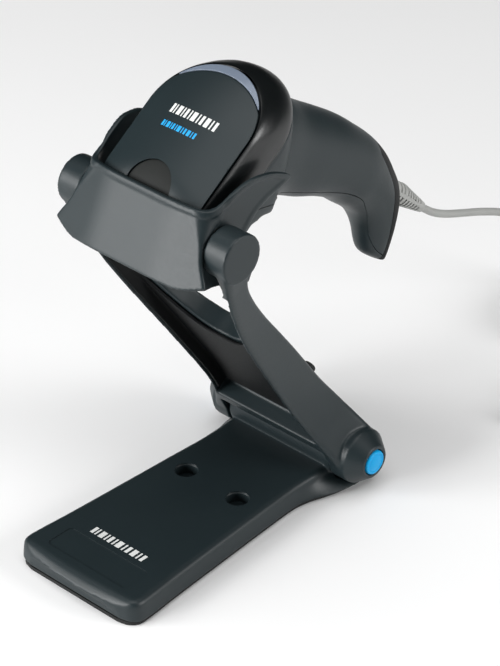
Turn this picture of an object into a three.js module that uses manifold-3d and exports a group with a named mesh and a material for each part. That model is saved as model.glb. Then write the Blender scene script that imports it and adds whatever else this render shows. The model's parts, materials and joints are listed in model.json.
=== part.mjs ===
// Handheld barcode scanner standing nose down in its folding desk stand.
// Millimetres, +Z up. +X is the object's right side, +Y runs from the front of the base to its rear.
// The origin is on the underside of the base, midway between its two fixing holes.
import * as THREE from 'three';
import { mergeVertices } from 'three/addons/utils/BufferGeometryUtils.js';
import Module from 'manifold-3d';

const wasm = await Module();
wasm.setup();

// ---------------------------------------------------------------- driving dimensions
const GAP = 0.3;                    // between faces that touch on the real object
const HINGE = [54, 16.5];           // y, z of the base hinge axis
const PIVOT = [-30, 159];           // y, z of the cradle's tilt axis
const ARM = Math.hypot(PIVOT[0] - HINGE[0], PIVOT[1] - HINGE[1]);
const ARM_LEAN = Math.atan2(HINGE[0] - PIVOT[0], PIVOT[1] - HINGE[1]);
const CUP_LEAN = -26.5 * Math.PI / 180;

const SOLE = 1.6;                   // rubber sole
const BASE_FLOOR = 3.4;             // top of the closing plate
const BASE_TOP = 11.4;
const BASE_FRONT = -85.5;
const BASE_REAR = 63;
const BARREL_R = 12;
const BARREL_HALF = 29.2;
const FIXING_X = 15;                // the two fixing holes are 30 mm apart
const FIXING_R = 2.4;
const FIXING_HEAD_R = 5.2;

const ARM_KNUCKLE_R = 12.6;
const ARM_INNER = 29.7;             // inner face of each knuckle, beside the barrel
const ARM_BOSS_R = 10.5;
const BOSS_INNER = 34.6;            // inner face of the bosses that carry the cradle
const BOSS_OUTER = 45.8;
const RECESS = 8.5;                 // depth of the panel recess in the yoke's front
const YOKE_WALL = 2.2;
const CAP_R = 5.6;

const CUP_WALL = 1.8;
const CUP_FRONT = -15;
const CUP_BACK = 28.6;
const CUP_LOW = -19.5;

const SHELL = 2.2;                  // wall of the scanner's housing
const BAND = 2.6;                   // thickness of the bumper around its head
const BAND_DEEP = 19;
const PANEL = 2.2;                  // thickness of the top panel
const PANEL_TILT = 29 * Math.PI / 180;
const PANEL_ORIGIN = [9, 46.2];     // y, z in the scanner's own frame
const NOSE_FRONT = -12.6;
const NOSE_LOW = -17;

const TRIGGER_PIN = [34, 9.5];      // y, z in the scanner's own frame
const RELIEF_AT = [157.5, 17.2];    // y, z in the scanner's own frame
const RELIEF_DIP = 14.5 * Math.PI / 180;
const RELIEF_LONG = 21.5;

const CORD_D = 3.6;
const COIL_AT = [36, 224];          // x, y of the coil's centre on the floor
const COIL_MEAN_R = 23.4;
const COIL_COLUMNS = 3;
const COIL_LAYERS = 4;
const COIL_PITCH = 3.75;
const COIL_LIFT = 1.2;              // the tie passes underneath

// ---------------------------------------------------------------- solids
const V = (x, y, z) => new THREE.Vector3(x, y, z);

function toManifold(geometry) {
  const bare = geometry.clone();
  bare.deleteAttribute('normal');
  bare.deleteAttribute('uv');
  const merged = mergeVertices(bare, 1e-4);
  return new wasm.Manifold(new wasm.Mesh({
    numProp: 3,
    vertProperties: new Float32Array(merged.attributes.position.array),
    triVerts: new Uint32Array(merged.index.array),
  }));
}

function toGeometry(solid) {
  const mesh = solid.getMesh();
  const geometry = new THREE.BufferGeometry();
  geometry.setAttribute('position', new THREE.BufferAttribute(new Float32Array(mesh.vertProperties), 3));
  geometry.setIndex(new THREE.BufferAttribute(new Uint32Array(mesh.triVerts), 1));
  geometry.computeVertexNormals();
  return geometry;
}

const join = (first, ...rest) => rest.reduce((a, b) => a.add(b), first);
const cut = (first, ...rest) => rest.reduce((a, b) => a.subtract(b), first);

// A closed skin through rings of equal length, with a flat fan on both ends.
function loft(rings) {
  const count = rings[0].length;
  const points = rings.flat();
  const index = [];
  for (let r = 0; r + 1 < rings.length; r++) {
    for (let i = 0; i < count; i++) {
      const j = (i + 1) % count;
      const [a, b] = [r * count + i, r * count + j];
      index.push(a, b, b + count, a, b + count, a + count);
    }
  }
  const fan = (ring, flip) => {
    const middle = rings[ring].reduce((sum, p) => sum.add(p), V(0, 0, 0)).divideScalar(count);
    points.push(middle);
    for (let i = 0; i < count; i++) {
      const [a, b] = [ring * count + i, ring * count + (i + 1) % count];
      index.push(...(flip ? [points.length - 1, b, a] : [points.length - 1, a, b]));
    }
  };
  fan(0, true);
  fan(rings.length - 1, false);
  const geometry = new THREE.BufferGeometry();
  const places = points.flatMap((p) => [p.x, p.y, p.z]);
  geometry.setAttribute('position', new THREE.Float32BufferAttribute(places, 3));
  geometry.setIndex(index);
  const solid = toManifold(geometry);
  if (solid.volume() > 0) return solid;
  geometry.setIndex(index.map((_, k) => index[k - (k % 3) + 2 - (k % 3)]));
  return toManifold(geometry);
}

function place(geometry, position, rotation = [0, 0, 0]) {
  const matrix = new THREE.Matrix4().makeRotationFromEuler(new THREE.Euler(...rotation));
  matrix.setPosition(...position);
  return toManifold(geometry.applyMatrix4(matrix));
}

// A block given by its lowest and highest corner.
function block(low, high) {
  const size = low.map((v, k) => high[k] - v);
  return place(new THREE.BoxGeometry(...size), low.map((v, k) => (v + high[k]) / 2));
}

// A cylinder along X, Y or Z between two stations.
function rod(axis, radius, from, to, centre = [0, 0], sides = 24, endRadius = radius) {
  const geometry = new THREE.CylinderGeometry(endRadius, radius, to - from, sides);
  const mid = (from + to) / 2;
  if (axis === 'x') return place(geometry.rotateZ(-Math.PI / 2), [mid, ...centre]);
  if (axis === 'y') return place(geometry, [centre[0], mid, centre[1]]);
  return place(geometry.rotateX(Math.PI / 2), [...centre, mid]);
}

// A prism of a plane outline: axis 'x' takes (y, z) points, 'y' takes (x, z) and 'z' takes (x, y).
function prism(axis, outline, from, to) {
  const shape = new THREE.Shape(outline.map(([a, b]) => new THREE.Vector2(a, b)));
  const geometry = new THREE.ExtrudeGeometry(shape, { depth: to - from, bevelEnabled: false });
  const basis = {
    x: [V(0, 1, 0), V(0, 0, 1), V(1, 0, 0), [from, 0, 0]],
    y: [V(-1, 0, 0), V(0, 0, 1), V(0, 1, 0), [0, from, 0]],
    z: [V(1, 0, 0), V(0, 1, 0), V(0, 0, 1), [0, 0, from]],
  }[axis];
  const matrix = new THREE.Matrix4().makeBasis(basis[0], basis[1], basis[2]).setPosition(...basis[3]);
  return toManifold(geometry.applyMatrix4(matrix));
}

// A smooth curve through [station, value] pairs.
function curve(pairs) {
  return (s) => {
    const last = pairs.length - 1;
    if (s <= pairs[0][0]) return pairs[0][1];
    if (s >= pairs[last][0]) return pairs[last][1];
    const k = pairs.findIndex((pair) => pair[0] > s) - 1;
    const [x0, y0] = pairs[k];
    const [x1, y1] = pairs[k + 1];
    const slope = (i) => {
      if (i <= 0 || i >= last) return (pairs[Math.min(i + 1, last)][1] - pairs[Math.max(i - 1, 0)][1])
        / (pairs[Math.min(i + 1, last)][0] - pairs[Math.max(i - 1, 0)][0]);
      return (pairs[i + 1][1] - pairs[i - 1][1]) / (pairs[i + 1][0] - pairs[i - 1][0]);
    };
    const h = x1 - x0;
    const t = (s - x0) / h;
    return y0 * (1 + 2 * t) * (1 - t) ** 2 + y1 * t * t * (3 - 2 * t)
      + slope(k) * h * t * (1 - t) ** 2 - slope(k + 1) * h * t * t * (1 - t);
  };
}

// ---------------------------------------------------------------- scene helpers
const scanner_on_stand = new THREE.Group();
const yokeGroup = new THREE.Group();
yokeGroup.position.set(0, HINGE[0], HINGE[1]);
yokeGroup.rotation.x = ARM_LEAN;
const gunGroup = new THREE.Group();
gunGroup.position.set(0, PIVOT[0], PIVOT[1]);
gunGroup.rotation.x = CUP_LEAN;
scanner_on_stand.add(yokeGroup, gunGroup);

const finish = {
  grey: { color: 0x50585a, roughness: 0.55, metalness: 0 },
  black: { color: 0x141718, roughness: 0.7, metalness: 0 },
  gloss: { color: 0x1b1f20, roughness: 0.25, metalness: 0 },
  rubber: { color: 0x17191a, roughness: 0.9, metalness: 0 },
  blue: { color: 0x2fc4f8, roughness: 0.35, metalness: 0 },
  lens: { color: 0x8c96a5, roughness: 0.2, metalness: 0 },
  steel: { color: 0xa8acae, roughness: 0.3, metalness: 1 },
  board: { color: 0x1d5b36, roughness: 0.5, metalness: 0 },
  cord: { color: 0xa5a6a3, roughness: 0.6, metalness: 0 },
};

function part(name, solid, look, group = scanner_on_stand) {
  const mesh = new THREE.Mesh(toGeometry(solid), new THREE.MeshStandardMaterial(finish[look]));
  mesh.name = name;
  group.add(mesh);
}

const sides = { right: 1, left: -1 };
const across = (sign) => (near, far) => (sign > 0 ? [near, far] : [-far, -near]);
const eachSide = (make) => Object.entries(sides).forEach(([name, sign]) => make(name, sign));

// ---------------------------------------------------------------- base
const baseHalf = curve([[BASE_FRONT, 26.4], [-84, 31], [-80, 34.2], [-72, 34.4], [-54, 33], [-22, 31],
  [5, 29.4], [22, 28.8], [30, 30.4], [37, 33.4], [44, 36], [52, 37.4], [BASE_REAR, 37]]);
const baseTopHalf = curve([[BASE_FRONT, 25.8], [-84, 30.4], [-80, 33.4], [-72, 33.6], [-54, 32.2],
  [-22, 30.2], [5, 28.7], [22, 27.8], [34, 28], [BASE_REAR, 29]]);
const baseHeight = curve([[BASE_FRONT, 8], [-82, BASE_TOP - 0.5], [-78, BASE_TOP], [54, BASE_TOP],
  [BASE_REAR, 9]]);
const POCKET_ENDS = [-84, 60.9];      // front and rear of the room under the cover
const PLATE_ENDS = [POCKET_ENDS[0] + GAP, POCKET_ENDS[1] - GAP];
const BASE_STATIONS = [BASE_FRONT, POCKET_ENDS[0], PLATE_ENDS[0], -80, -50, -8, 22, 32, 40, 52, PLATE_ENDS[1],
  POCKET_ENDS[1], BASE_REAR];

// One upright section of the base: flat underneath, leaning sides and well rounded upper edges.
function baseRing(y, low, inset) {
  const half = baseHalf(y) - inset;
  const top = baseHeight(y) - inset;
  const topHalf = baseTopHalf(y) - inset;
  const bow = y < -70 ? 2.4 * (y + 70) / (BASE_FRONT + 70) : 0;
  const radius = Math.min(4.5, top - low - 0.5);
  const ring = [V(-half, y, low), V(-topHalf, y, top - radius)];
  for (let k = 1; k < 3; k++) {
    const angle = k * Math.PI / 6;
    ring.push(V(-topHalf + radius * (1 - Math.cos(angle)), y, top - radius + radius * Math.sin(angle)));
  }
  ring.push(V(-topHalf + radius, y, top), V(-half / 3, y, top));
  const mirrored = ring.map((p) => V(-p.x, p.y, p.z)).reverse();
  return [...ring, ...mirrored].map((p) => V(p.x, p.y + bow * (p.x / half) ** 2, p.z));
}

function baseBlank(low, inset, front = BASE_FRONT, rear = BASE_REAR) {
  return loft(BASE_STATIONS.filter((y) => y >= front && y <= rear).map((y) => baseRing(y, low, inset)));
}

// A slice of the base's outline between two levels.
function baseSlab(low, high, inset, front, rear) {
  return cut(baseBlank(low, inset, front, rear), block([-60, -200, high], [60, 200, 90]));
}

const SCREW_PLACES = [[-22, -78], [22, -78], [-20, 30], [20, 30]];
const fixingRods = (radius, from, to, end = radius) => [-FIXING_X, FIXING_X]
  .map((x) => rod('z', radius, from, to, [x, 0], 16, end));
const screwRods = (radius, from, to) => SCREW_PLACES.map((at) => rod('z', radius, from, to, at, 10));

function makeBase() {
  const low = BASE_FLOOR + GAP;
  const barrel = rod('x', BARREL_R, -BARREL_HALF, BARREL_HALF, HINGE, 28);
  const skirt = SOLE + GAP;
  const underside = block([-60, -200, -50], [60, 200, skirt]);
  const pocket = baseSlab(skirt, low, 2.1, ...POCKET_ENDS);
  const hollow = baseBlank(low - 2, 2.4, POCKET_ENDS[0], 40);
  const cavity = cut(hollow, ...fixingRods(7.4, -3, 20), ...screwRods(3.2, -3, 20));
  const wells = [...fixingRods(FIXING_R, -1, 20), ...fixingRods(FIXING_HEAD_R, 6.2, 20),
    ...fixingRods(FIXING_HEAD_R, BASE_TOP - 0.8, BASE_TOP + 0.2, FIXING_HEAD_R + 1)];
  const knuckleRooms = [rod('x', ARM_KNUCKLE_R + 0.6, ARM_INNER - GAP, 70, HINGE, 28),
    rod('x', ARM_KNUCKLE_R + 0.6, -70, -ARM_INNER + GAP, HINGE, 28)];
  const label = block([-23, -76, BASE_TOP - 0.35], [23, -61.7, BASE_TOP + 3]);
  const shell = join(cut(baseBlank(skirt - 1, 0), ...knuckleRooms), barrel);
  part('base_cover', cut(shell, underside, pocket, cavity, rod('x', 3.3, -60, 60, HINGE, 16), ...wells,
    ...screwRods(1.25, -1, low + 4), label), 'grey');

  part('base_plate', cut(baseSlab(skirt, BASE_FLOOR, 2.4, ...PLATE_ENDS), ...fixingRods(FIXING_R, -1, 20),
    ...screwRods(2.4, -1, SOLE + 1.2), ...screwRods(1.3, -1, 20), ...knuckleRooms), 'black');
  part('sole_pad', cut(baseSlab(0, SOLE, 1), ...fixingRods(4.2, -1, 20), ...screwRods(3, -1, 20)), 'rubber');
  part('base_weight', block([-24, -70, low + 0.2], [24, -9, low + 4]), 'steel');
  SCREW_PLACES.forEach((at, k) => {
    const shank = rod('z', 0.95, SOLE + 0.8, low + 3.4, at, 10);
    part(`base_screw_${k + 1}`, join(shank, rod('z', 2.1, SOLE + 0.3, SOLE + 0.9, at, 12)), 'steel');
  });
}

// Pieces on the hinge axis, in the base's frame.
function makeHinge() {
  const end = 40.6;
  const hole = rod('x', 3.2, -60, 60, HINGE, 16);
  const pinHead = rod('x', 4.4, end - 2, end, HINGE, 6);
  part('hinge_pin', join(rod('x', 3, -end, end - 2, HINGE, 16), pinHead), 'steel');
  part('hinge_nut', cut(rod('x', 4.4, -end + 0.3, -end + 2.6, HINGE, 6), hole), 'steel');
  part('hinge_washer', cut(rod('x', 5.2, 37.2, 38.3, HINGE, 20), hole), 'steel');
  part('hinge_disc_spring', cut(rod('x', 4, -37.7, -36.7, HINGE, 20, 5.2), hole), 'steel');
}

// ---------------------------------------------------------------- yoke, in its own frame
// Here +Z runs from the hinge to the cradle's tilt axis and +Y is the yoke's back.
const yokeFront = curve([[0, -12.4], [6, -11.6], [20, -11.2], [36, -11.3], [72, -12.9], [115, -14.7],
  [140, -14], [155, -12], [ARM, -10.6]]);
const yokeBack = curve([[0, 12.4], [6, 12], [26, 11], [48, 8.5], [76, 5.6], [95, 3.1], [115, 0.2],
  [134, -1.7], [146, -1.2], [156, 3], [ARM, 6]]);
const yokeHalf = curve([[-14, 38.5], [0, 38.5], [8, 36.4], [16, 33.2], [24, 30.4], [34, 28.7], [44, 28.3],
  [56, 29], [72, 30.4], [93, 32.6], [115, 35.6], [136, 39.7], [150, 42.6], [158, 44.6], [ARM, BOSS_OUTER]]);
const armInside = [[83, 0], [83.6, 4.5], [85, 8], [88, 12.4], [93.5, 17], [99, 20.6], [106, 25], [113, 28.7],
  [121, 31.4], [130, 33.2], [140, 35.4], [150, 37.6], [160, 39.6], [ARM + 60, 40]];
const YOKE_STATIONS = [0, 10, 20, 32, 46, 66, 88, 108, 126, 142, 154, ARM];
const WEB_LOW = 14;

function yokeRing(s) {
  const [half, front, back, r] = [yokeHalf(s), yokeFront(s), yokeBack(s), 1.6];
  const corner = [[-half + r, front], [-half + 0.5, front + 0.5], [-half, front + r], [-half, back - r],
    [-half + 0.5, back - 0.5], [-half + r, back]];
  return [...corner, ...corner.map(([x, y]) => [-x, y]).reverse()].map(([x, y]) => V(x, y, s));
}

// The opening between the two arms, cut right through from front to back.
function armGap(grow) {
  const right = armInside.slice(1).map(([s, x]) => [x + grow, s - grow]);
  return prism('y', [[0, 83 - grow], ...right, ...right.slice().reverse().map(([x, s]) => [-x, s])], -60, 60);
}

// A trough along the yoke's front, from its open face to a depth and inside its side walls.
function frontTrough(inset, open, deep, low, high) {
  return loft(YOKE_STATIONS.filter((s) => s > low && s < high).map((s) => {
    const half = yokeHalf(s) - YOKE_WALL - inset;
    return [V(-half, open(s), s), V(-half, deep(s), s), V(half, deep(s), s), V(half, open(s), s)];
  }));
}

function makeYoke() {
  const floor = (s) => yokeFront(s) + RECESS;
  const knuckles = rod('x', ARM_KNUCKLE_R, -38.5, 38.5, [0, 0], 28);
  let shell = loft(YOKE_STATIONS.map(yokeRing));
  shell = join(shell, knuckles);
  const cones = [1, -1].map((sign) => rod('x', sign > 0 ? ARM_KNUCKLE_R : 7.4, sign > 0 ? 38.4 : -45.2,
    sign > 0 ? 45.2 : -38.4, [0, 0], 28, sign > 0 ? 7.4 : ARM_KNUCKLE_R));
  shell = join(shell, ...cones);
  const barrelRoom = rod('x', BARREL_R + 1.4, -ARM_INNER, ARM_INNER, [0, 0], 28);
  const webTrim = block([-ARM_INNER, -60, -60], [ARM_INNER, 60, WEB_LOW]);
  shell = cut(shell, barrelRoom, webTrim, armGap(0), block([-70, -60, ARM], [70, 60, ARM + 90]));
  shell = cut(shell, frontTrough(0, () => -40, floor, 20, 150));
  const bores = [];
  eachSide((name, sign) => {
    const between = across(sign);
    shell = join(shell, rod('x', ARM_BOSS_R, ...between(BOSS_INNER, BOSS_OUTER), [0, ARM], 36));
    bores.push(rod('x', 3.3, ...between(ARM_INNER - 1, 60), [0, 0], 20));
    bores.push(rod('x', CAP_R + 0.3, ...between(36.4, 60), [0, 0], 28));
    bores.push(rod('x', 2.6, ...between(BOSS_INNER - 1, BOSS_OUTER - 2.4), [0, ARM], 16));
  });
  part('yoke_shell', cut(shell, ...bores), 'grey', yokeGroup);

  const lip = (s) => yokeFront(s) + 1.2;
  const tray = cut(frontTrough(GAP, lip, (s) => floor(s) - GAP, 20, 140),
    frontTrough(1.6, () => -40, (s) => floor(s) - 1.8, 0, 160), armGap(1.4),
    block([-60, -60, 0], [60, 60, 25]));
  part('yoke_cover', tray, 'black', yokeGroup);

  eachSide((name, sign) => {
    const between = across(sign);
    part(`hinge_cap_${name}`, cut(rod('x', CAP_R, ...between(41, 46.2), [0, 0], 28),
      rod('x', 5, ...between(40, 44.6), [0, 0], 20)), 'blue', yokeGroup);
    const pin = rod('x', 2.3, ...between(31.9, BOSS_OUTER - 2.8), [0, ARM], 16);
    part(`pivot_pin_${name}`, pin, 'steel', yokeGroup);
    const bumper = rod('y', 3, yokeBack(50) + 0.35, yokeBack(50) + 2.6, [sign * 22, 50], 20, 2.2);
    part(`rear_bumper_${name}`, bumper, 'rubber', yokeGroup);
  });
}

// ---------------------------------------------------------------- cradle, in the scanner's frame
// Here +Z points out of the cup's mouth and +Y runs back along the scanner's handle.
const cupFrontHalf = curve([[CUP_LOW, 43], [-13, 40.2], [-6, 36.4], [0, 34.8], [5, 34.1], [13, 33.7],
  [20, 33.5], [28, 35.8], [36, 38.4]]);
const cupSideHalf = curve([[CUP_LOW, 33.4], [14, 33.5], [21, 34.3], [28, 35.8], [36, 38.4]]);
const cupCorner = curve([[CUP_LOW, 1.4], [-6, 1.6], [0, 2.4], [6, 5.4], [13, 9], [36, 9]]);
const CUP_STATIONS = [CUP_LOW, -13, -6, 0, 5, 9, 13, 20, 28, 36];
const CUP_REAR_CORNER = 4;

// The front is flat in the middle and sweeps back towards its sides.
function sweep(x) {
  return x < 12.5 ? 0 : x < 22.5 ? 0.0085 * (x - 12.5) ** 2 : 0.17 * (x - 17.5);
}

// A section across the cup. Its front reaches out beside the walls as a fin, which ends where the rim begins.
function cupRing(z, inset) {
  const side = cupSideHalf(z) - inset;
  const tip = inset > 0 ? side : cupFrontHalf(z);
  const corner = (half, y, radius, from) => [0, 1, 2, 3, 4].map((k) => {
    const angle = from + k * Math.PI / 8;
    return V(half - radius + radius * Math.cos(angle), y + radius * Math.sin(angle), z);
  });
  const radius = Math.max(cupCorner(z) - inset, 1.2);
  const rearRadius = Math.max(CUP_REAR_CORNER - inset, 0.8);
  const front = (x) => CUP_FRONT + inset + sweep(x);
  const y = front(tip - radius) + radius;
  const right = [
    V(12.5, front(0), z), V(17.5, front(17.5), z), V(22.5, front(22.5), z),
    ...corner(tip, y, radius, -Math.PI / 2),
    V(side + 0.12 * (tip - side), y + 1.3, z), V(side, y + 3, z), V(side, 10, z),
    ...corner(side, CUP_BACK - inset - rearRadius, rearRadius, 0),
  ];
  return [...right, ...right.map((p) => V(-p.x, p.y, p.z)).reverse()];
}

function makeCradle() {
  const outside = loft(CUP_STATIONS.map((z) => cupRing(z, 0)));
  const inside = loft([CUP_LOW + CUP_WALL, ...CUP_STATIONS.slice(1), 40].map((z) => cupRing(z, CUP_WALL)));
  const window = loft([-25, -15].map((z) => cupRing(CUP_LOW, 5.8).map((p) => V(p.x, p.y, z))));
  const sideView = [[-30, -30], [-3, -30], [-2.6, CUP_LOW + 0.2], [4, -16.6], [14, -14.4], [40, -13.4],
    [40, -4], [17, -3.6], [13.4, -1], [13, 3], [13.8, 9], [15.7, 15.2], [19, 21.6], [23, 26.4],
    [26.2, 31.4], [26.2, 33.6], [20, 34], [12.5, 33.4], [4, 30], [-2.5, 23.5], [-7, 17], [-11, 14],
    [-30, 12.6]];
  const finEnds = [1, -1].map((sign) => prism('y',
    [[27 * sign, -19.6], [32 * sign, -18.5], [36 * sign, -17], [44.5 * sign, -13], [60 * sign, -13],
      [60 * sign, -30], [27 * sign, -30]], -60, 60));
  const cup = cut(outside, inside, window, ...finEnds).intersect(prism('x', sideView, -60, 60));
  const bossRooms = [1, -1].map((sign) => rod('x', ARM_BOSS_R + 0.4, ...across(sign)(BOSS_INNER - 0.5, 60),
    [0, 0], 24));
  part('cradle', cut(cup, ...bossRooms, rod('x', 2.6, -60, 60, [0, 0], 16)), 'grey', gunGroup);
  eachSide((name, sign) => {
    part(`pivot_washer_${name}`, cut(rod('x', 5.2, ...across(sign)(33.85, 34.3), [0, 0], 20),
      rod('x', 2.7, -60, 60, [0, 0], 16)), 'steel', gunGroup);
  });
}

// ---------------------------------------------------------------- scanner
// A point of the head: across, along the panel towards the rear, and out of the panel.
function headPoint(x, t, d) {
  const [c, s] = [Math.cos(PANEL_TILT), Math.sin(PANEL_TILT)];
  return V(x, PANEL_ORIGIN[0] + s * t - c * d, PANEL_ORIGIN[1] + c * t + s * d);
}

// The head's half width and the centre of its round rear end, by depth under the panel.
const headHalf = curve([[-50, 21], [-40, 24], [-30, 26], [-19, 27.6], [-9, 28.6], [-2.7, 28], [0, 26.8]]);
const headCentre = curve([[-50, -22], [-40, -12.4], [-30, -3], [-19, 2.8], [-9, -0.6], [-2.7, -4.8],
  [0, -6.3]]);
const HEAD_FRONT = -86;
const HEAD_DEPTHS = [-50, -40, -30, -19, -9, -4, -1.4, 0];

function headRing(d, inset, scale = 1, lift = 0) {
  const half = headHalf(d) - inset;
  const centre = headCentre(d);
  const outline = [[HEAD_FRONT, half], [centre, half]];
  for (let k = 1; k < 12; k++) {
    outline.push([centre + half * Math.sin(k * Math.PI / 12), half * Math.cos(k * Math.PI / 12)]);
  }
  outline.push([centre, -half], [HEAD_FRONT, -half]);
  return outline.map(([t, x]) => headPoint(x * scale, -14 + (t + 14) * scale, d + lift));
}

const headStack = (inset, low, high) => loft(HEAD_DEPTHS.filter((d) => d > low && d < high)
  .concat([low, high]).sort((a, b) => a - b).map((d) => headRing(d, inset)));

// A prism standing on the panel, from an outline in (x, t).
function panelPrism(outline, low, high) {
  const shape = new THREE.Shape(outline.map(([x, t]) => new THREE.Vector2(x, t)));
  const geometry = new THREE.ExtrudeGeometry(shape, { depth: high - low, bevelEnabled: false });
  const tilt = new THREE.Matrix4().makeRotationX(Math.PI / 2 - PANEL_TILT);
  tilt.setPosition(headPoint(0, 0, low));
  return toManifold(geometry.applyMatrix4(tilt));
}

// A crowned skin under the panel's outer face, thick from one depth below it to another.
function panelSkin(near = 0, far = PANEL) {
  const crown = (scale) => 4.7 * (1 - scale * scale);
  const steps = [0.4, 0.75, 1];
  const under = steps.map((scale) => headRing(0, 0, scale, crown(scale) - far));
  const above = steps.slice().reverse().map((scale) => headRing(0, 0, scale, crown(scale) - near));
  return loft([...under, ...above]).intersect(noseRoom(NOSE_LOW, near));
}

// The space behind the nose's front, which sweeps back to two rounded upright edges.
function noseRoom(low = NOSE_LOW, inset = 0) {
  const corner = [0, 1, 2, 3, 4].map((k) => [23 + 7 * Math.sin(k * Math.PI / 8),
    sweep(23) + 7 - 7 * Math.cos(k * Math.PI / 8)]);
  const right = [[12.5, 0], [17.5, sweep(17.5)], ...corner, [30, 260]];
  const outline = [...right, ...right.map(([x, y]) => [-x, y]).reverse()];
  return prism('z', outline.map(([x, y]) => [x, y + NOSE_FRONT + inset]), low, 120);
}

function arc(centre, radius, from, to, steps) {
  return Array.from({ length: steps + 1 }, (_, k) => {
    const angle = from + (to - from) * k / steps;
    return [radius * Math.cos(angle), centre + radius * Math.sin(angle)];
  });
}

// The arch cut out of the panel's front, with the darker tongue that shows in it.
const NOTCH_R = 11;
const NOTCH_TOP = 23.4;
const notchOutline = (grow) => [[NOTCH_R + 3 + grow, 0], [NOTCH_R + 0.6 + grow, 8],
  ...arc(NOTCH_TOP - NOTCH_R, NOTCH_R + grow, 0, Math.PI, 12), [-NOTCH_R - 0.6 - grow, 8],
  [-NOTCH_R - 3 - grow, 0]];

function panelRear(grow) {
  return [[40, -90], ...arc(-17.3, 33.2 + grow, 0, Math.PI, 20), [-40, -90]];
}

// The handle: pairs of points on its back and on its trigger side, with the half width there.
const HANDLE = [
  [[30, 58], [30, 4], 20], [[46, 57.5], [44, 8], 18.6], [[61, 54.3], [60, 13.2], 16.6],
  [[78, 52.3], [77, 13.4], 16.1], [[93, 50.2], [89, 14.2], 15.8], [[106, 47], [101, 13.8], 15.5],
  [[117.5, 43.6], [111, 11.5], 15.1], [[129.2, 38.3], [119.2, 9.7], 13.7],
  [[139.2, 31.5], [126.4, 7.3], 12.2], [[147.8, 24.9], [132.3, 3.3], 10.6],
  [[153.8, 16.6], [137, -1.7], 9.1], [[157, 6.4], [140.4, -6.5], 8.1],
  [[158.7, -2.5], [144.2, -10.1], 6.9], [[159, -9.3], [150.3, -11.9], 5.7],
  [[158.8, -12.8], [155.8, -12.6], 4.3],
];

function handleLoft(inset, first = 0, last = HANDLE.length) {
  return loft(HANDLE.slice(first, last).map(([back, front, half]) => {
    const chord = [back[0] - front[0], back[1] - front[1]];
    const reach = Math.hypot(...chord) / 2 - inset;
    const unit = chord.map((v) => v / Math.hypot(...chord));
    const middle = [(back[0] + front[0]) / 2, (back[1] + front[1]) / 2];
    return Array.from({ length: 16 }, (_, k) => {
      const angle = k * Math.PI / 8;
      const [c, s] = [Math.cos(angle), Math.sin(angle)];
      const across = Math.sign(c) * Math.abs(c) ** 0.9 * (half - inset);
      const out = Math.sign(s) * Math.abs(s) ** 0.9 * reach;
      return V(across, middle[0] + unit[0] * out, middle[1] + unit[1] * out);
    });
  }));
}

// Side outline of everything ahead of the handle, and of the trigger-side shell.
const HEAD_SIDE = [[-20, NOSE_LOW], [22.2, NOSE_LOW], [24.2, -8], [25.4, 0], [29, 7], [36, 11], [62, 13],
  [62, 95], [-20, 95]];
const UNDER_SIDE = [[16, -40], [16, 6], [20, 12], [34, 15.4], [60, 17.4], [80, 18.6], [102, 19.4],
  [114, 17.4], [122, 13.4], [130, 8], [136, 2], [141, -3.4], [147, -7.4], [154, -9.6], [200, -10.4],
  [200, -40]];
const BUTT_INSIDE = [[116.5, 60], [119.5, 37], [128.8, 29.6], [137, 23], [142.8, 15.2], [147.8, 6],
  [151, -2.6], [152.8, -9.6], [154, -20], [220, -20], [220, 60]];

function makeScanner() {
  const head = join(headStack(0, -50, -BAND_DEEP - GAP), headStack(BAND + GAP, -BAND_DEEP - 1, -PANEL - GAP))
    .intersect(prism('x', HEAD_SIDE, -60, 60)).intersect(noseRoom());
  const hollowSide = HEAD_SIDE.map(([y, z]) => [y > 20 && z < 20 ? y - SHELL : y, z < 20 ? z + SHELL : z]);
  const headHollow = headStack(BAND + GAP + SHELL, -46, 0)
    .intersect(prism('x', hollowSide, -60, 60))
    .intersect(noseRoom(-60, SHELL));
  const reliefBore = alongRelief([[-40, 5.3], [10, 5.3]], 20);
  const notch = prism('y', notchOutline(GAP), -60, 30);
  const body = cut(join(head, handleLoft(0)), headHollow, handleLoft(SHELL, 1, HANDLE.length - 1), reliefBore,
    block([-60, -60, NOSE_LOW - 5], [60, 60, -10]));
  const under = (grow) => prism('x', UNDER_SIDE.map(([y, z]) => [y + grow / 2, z - grow]), -60, 60);
  const butt = (grow) => prism('x', BUTT_INSIDE.map(([y, z]) => [y - grow, z]), -60, 60);
  const triggerRoom = block([-7.2, 30.4, -20], [7.2, 65, 24]);
  part('housing_back', cut(body, under(0), butt(GAP)), 'grey', gunGroup);
  part('housing_front', cut(body.intersect(under(GAP)), butt(GAP), triggerRoom,
    rod('x', 1.3, -9.8, 9.8, TRIGGER_PIN, 10)), 'grey', gunGroup);
  part('butt_cap', cut(handleLoft(0, 6), handleLoft(SHELL + 0.6, 0, HANDLE.length - 1), reliefBore)
    .intersect(butt(0)), 'black', gunGroup);

  const band = cut(headStack(0, -BAND_DEEP, -0.4), headStack(BAND, -BAND_DEEP - 1, 0.5))
    .intersect(noseRoom(-9.6));
  part('bumper_band', cut(band, panelPrism(panelOutline(GAP), -PANEL - GAP, 12)), 'gloss', gunGroup);

  const inner = panelPrism(panelOutline(0), -12, 12);
  const skin = panelSkin().intersect(inner);
  part('top_panel', cut(skin.intersect(panelPrism(panelRear(0), -12, 12)), notch), 'grey', gunGroup);
  part('indicator_lens', cut(skin, panelPrism(panelRear(0.2), -12, 12)), 'lens', gunGroup);
  part('nose_inset', panelSkin(0.9, 1.9).intersect(prism('y', notchOutline(0), -60, 30)), 'black', gunGroup);
  makeNose();
  makeInside();
  makeTrigger();
}

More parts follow.
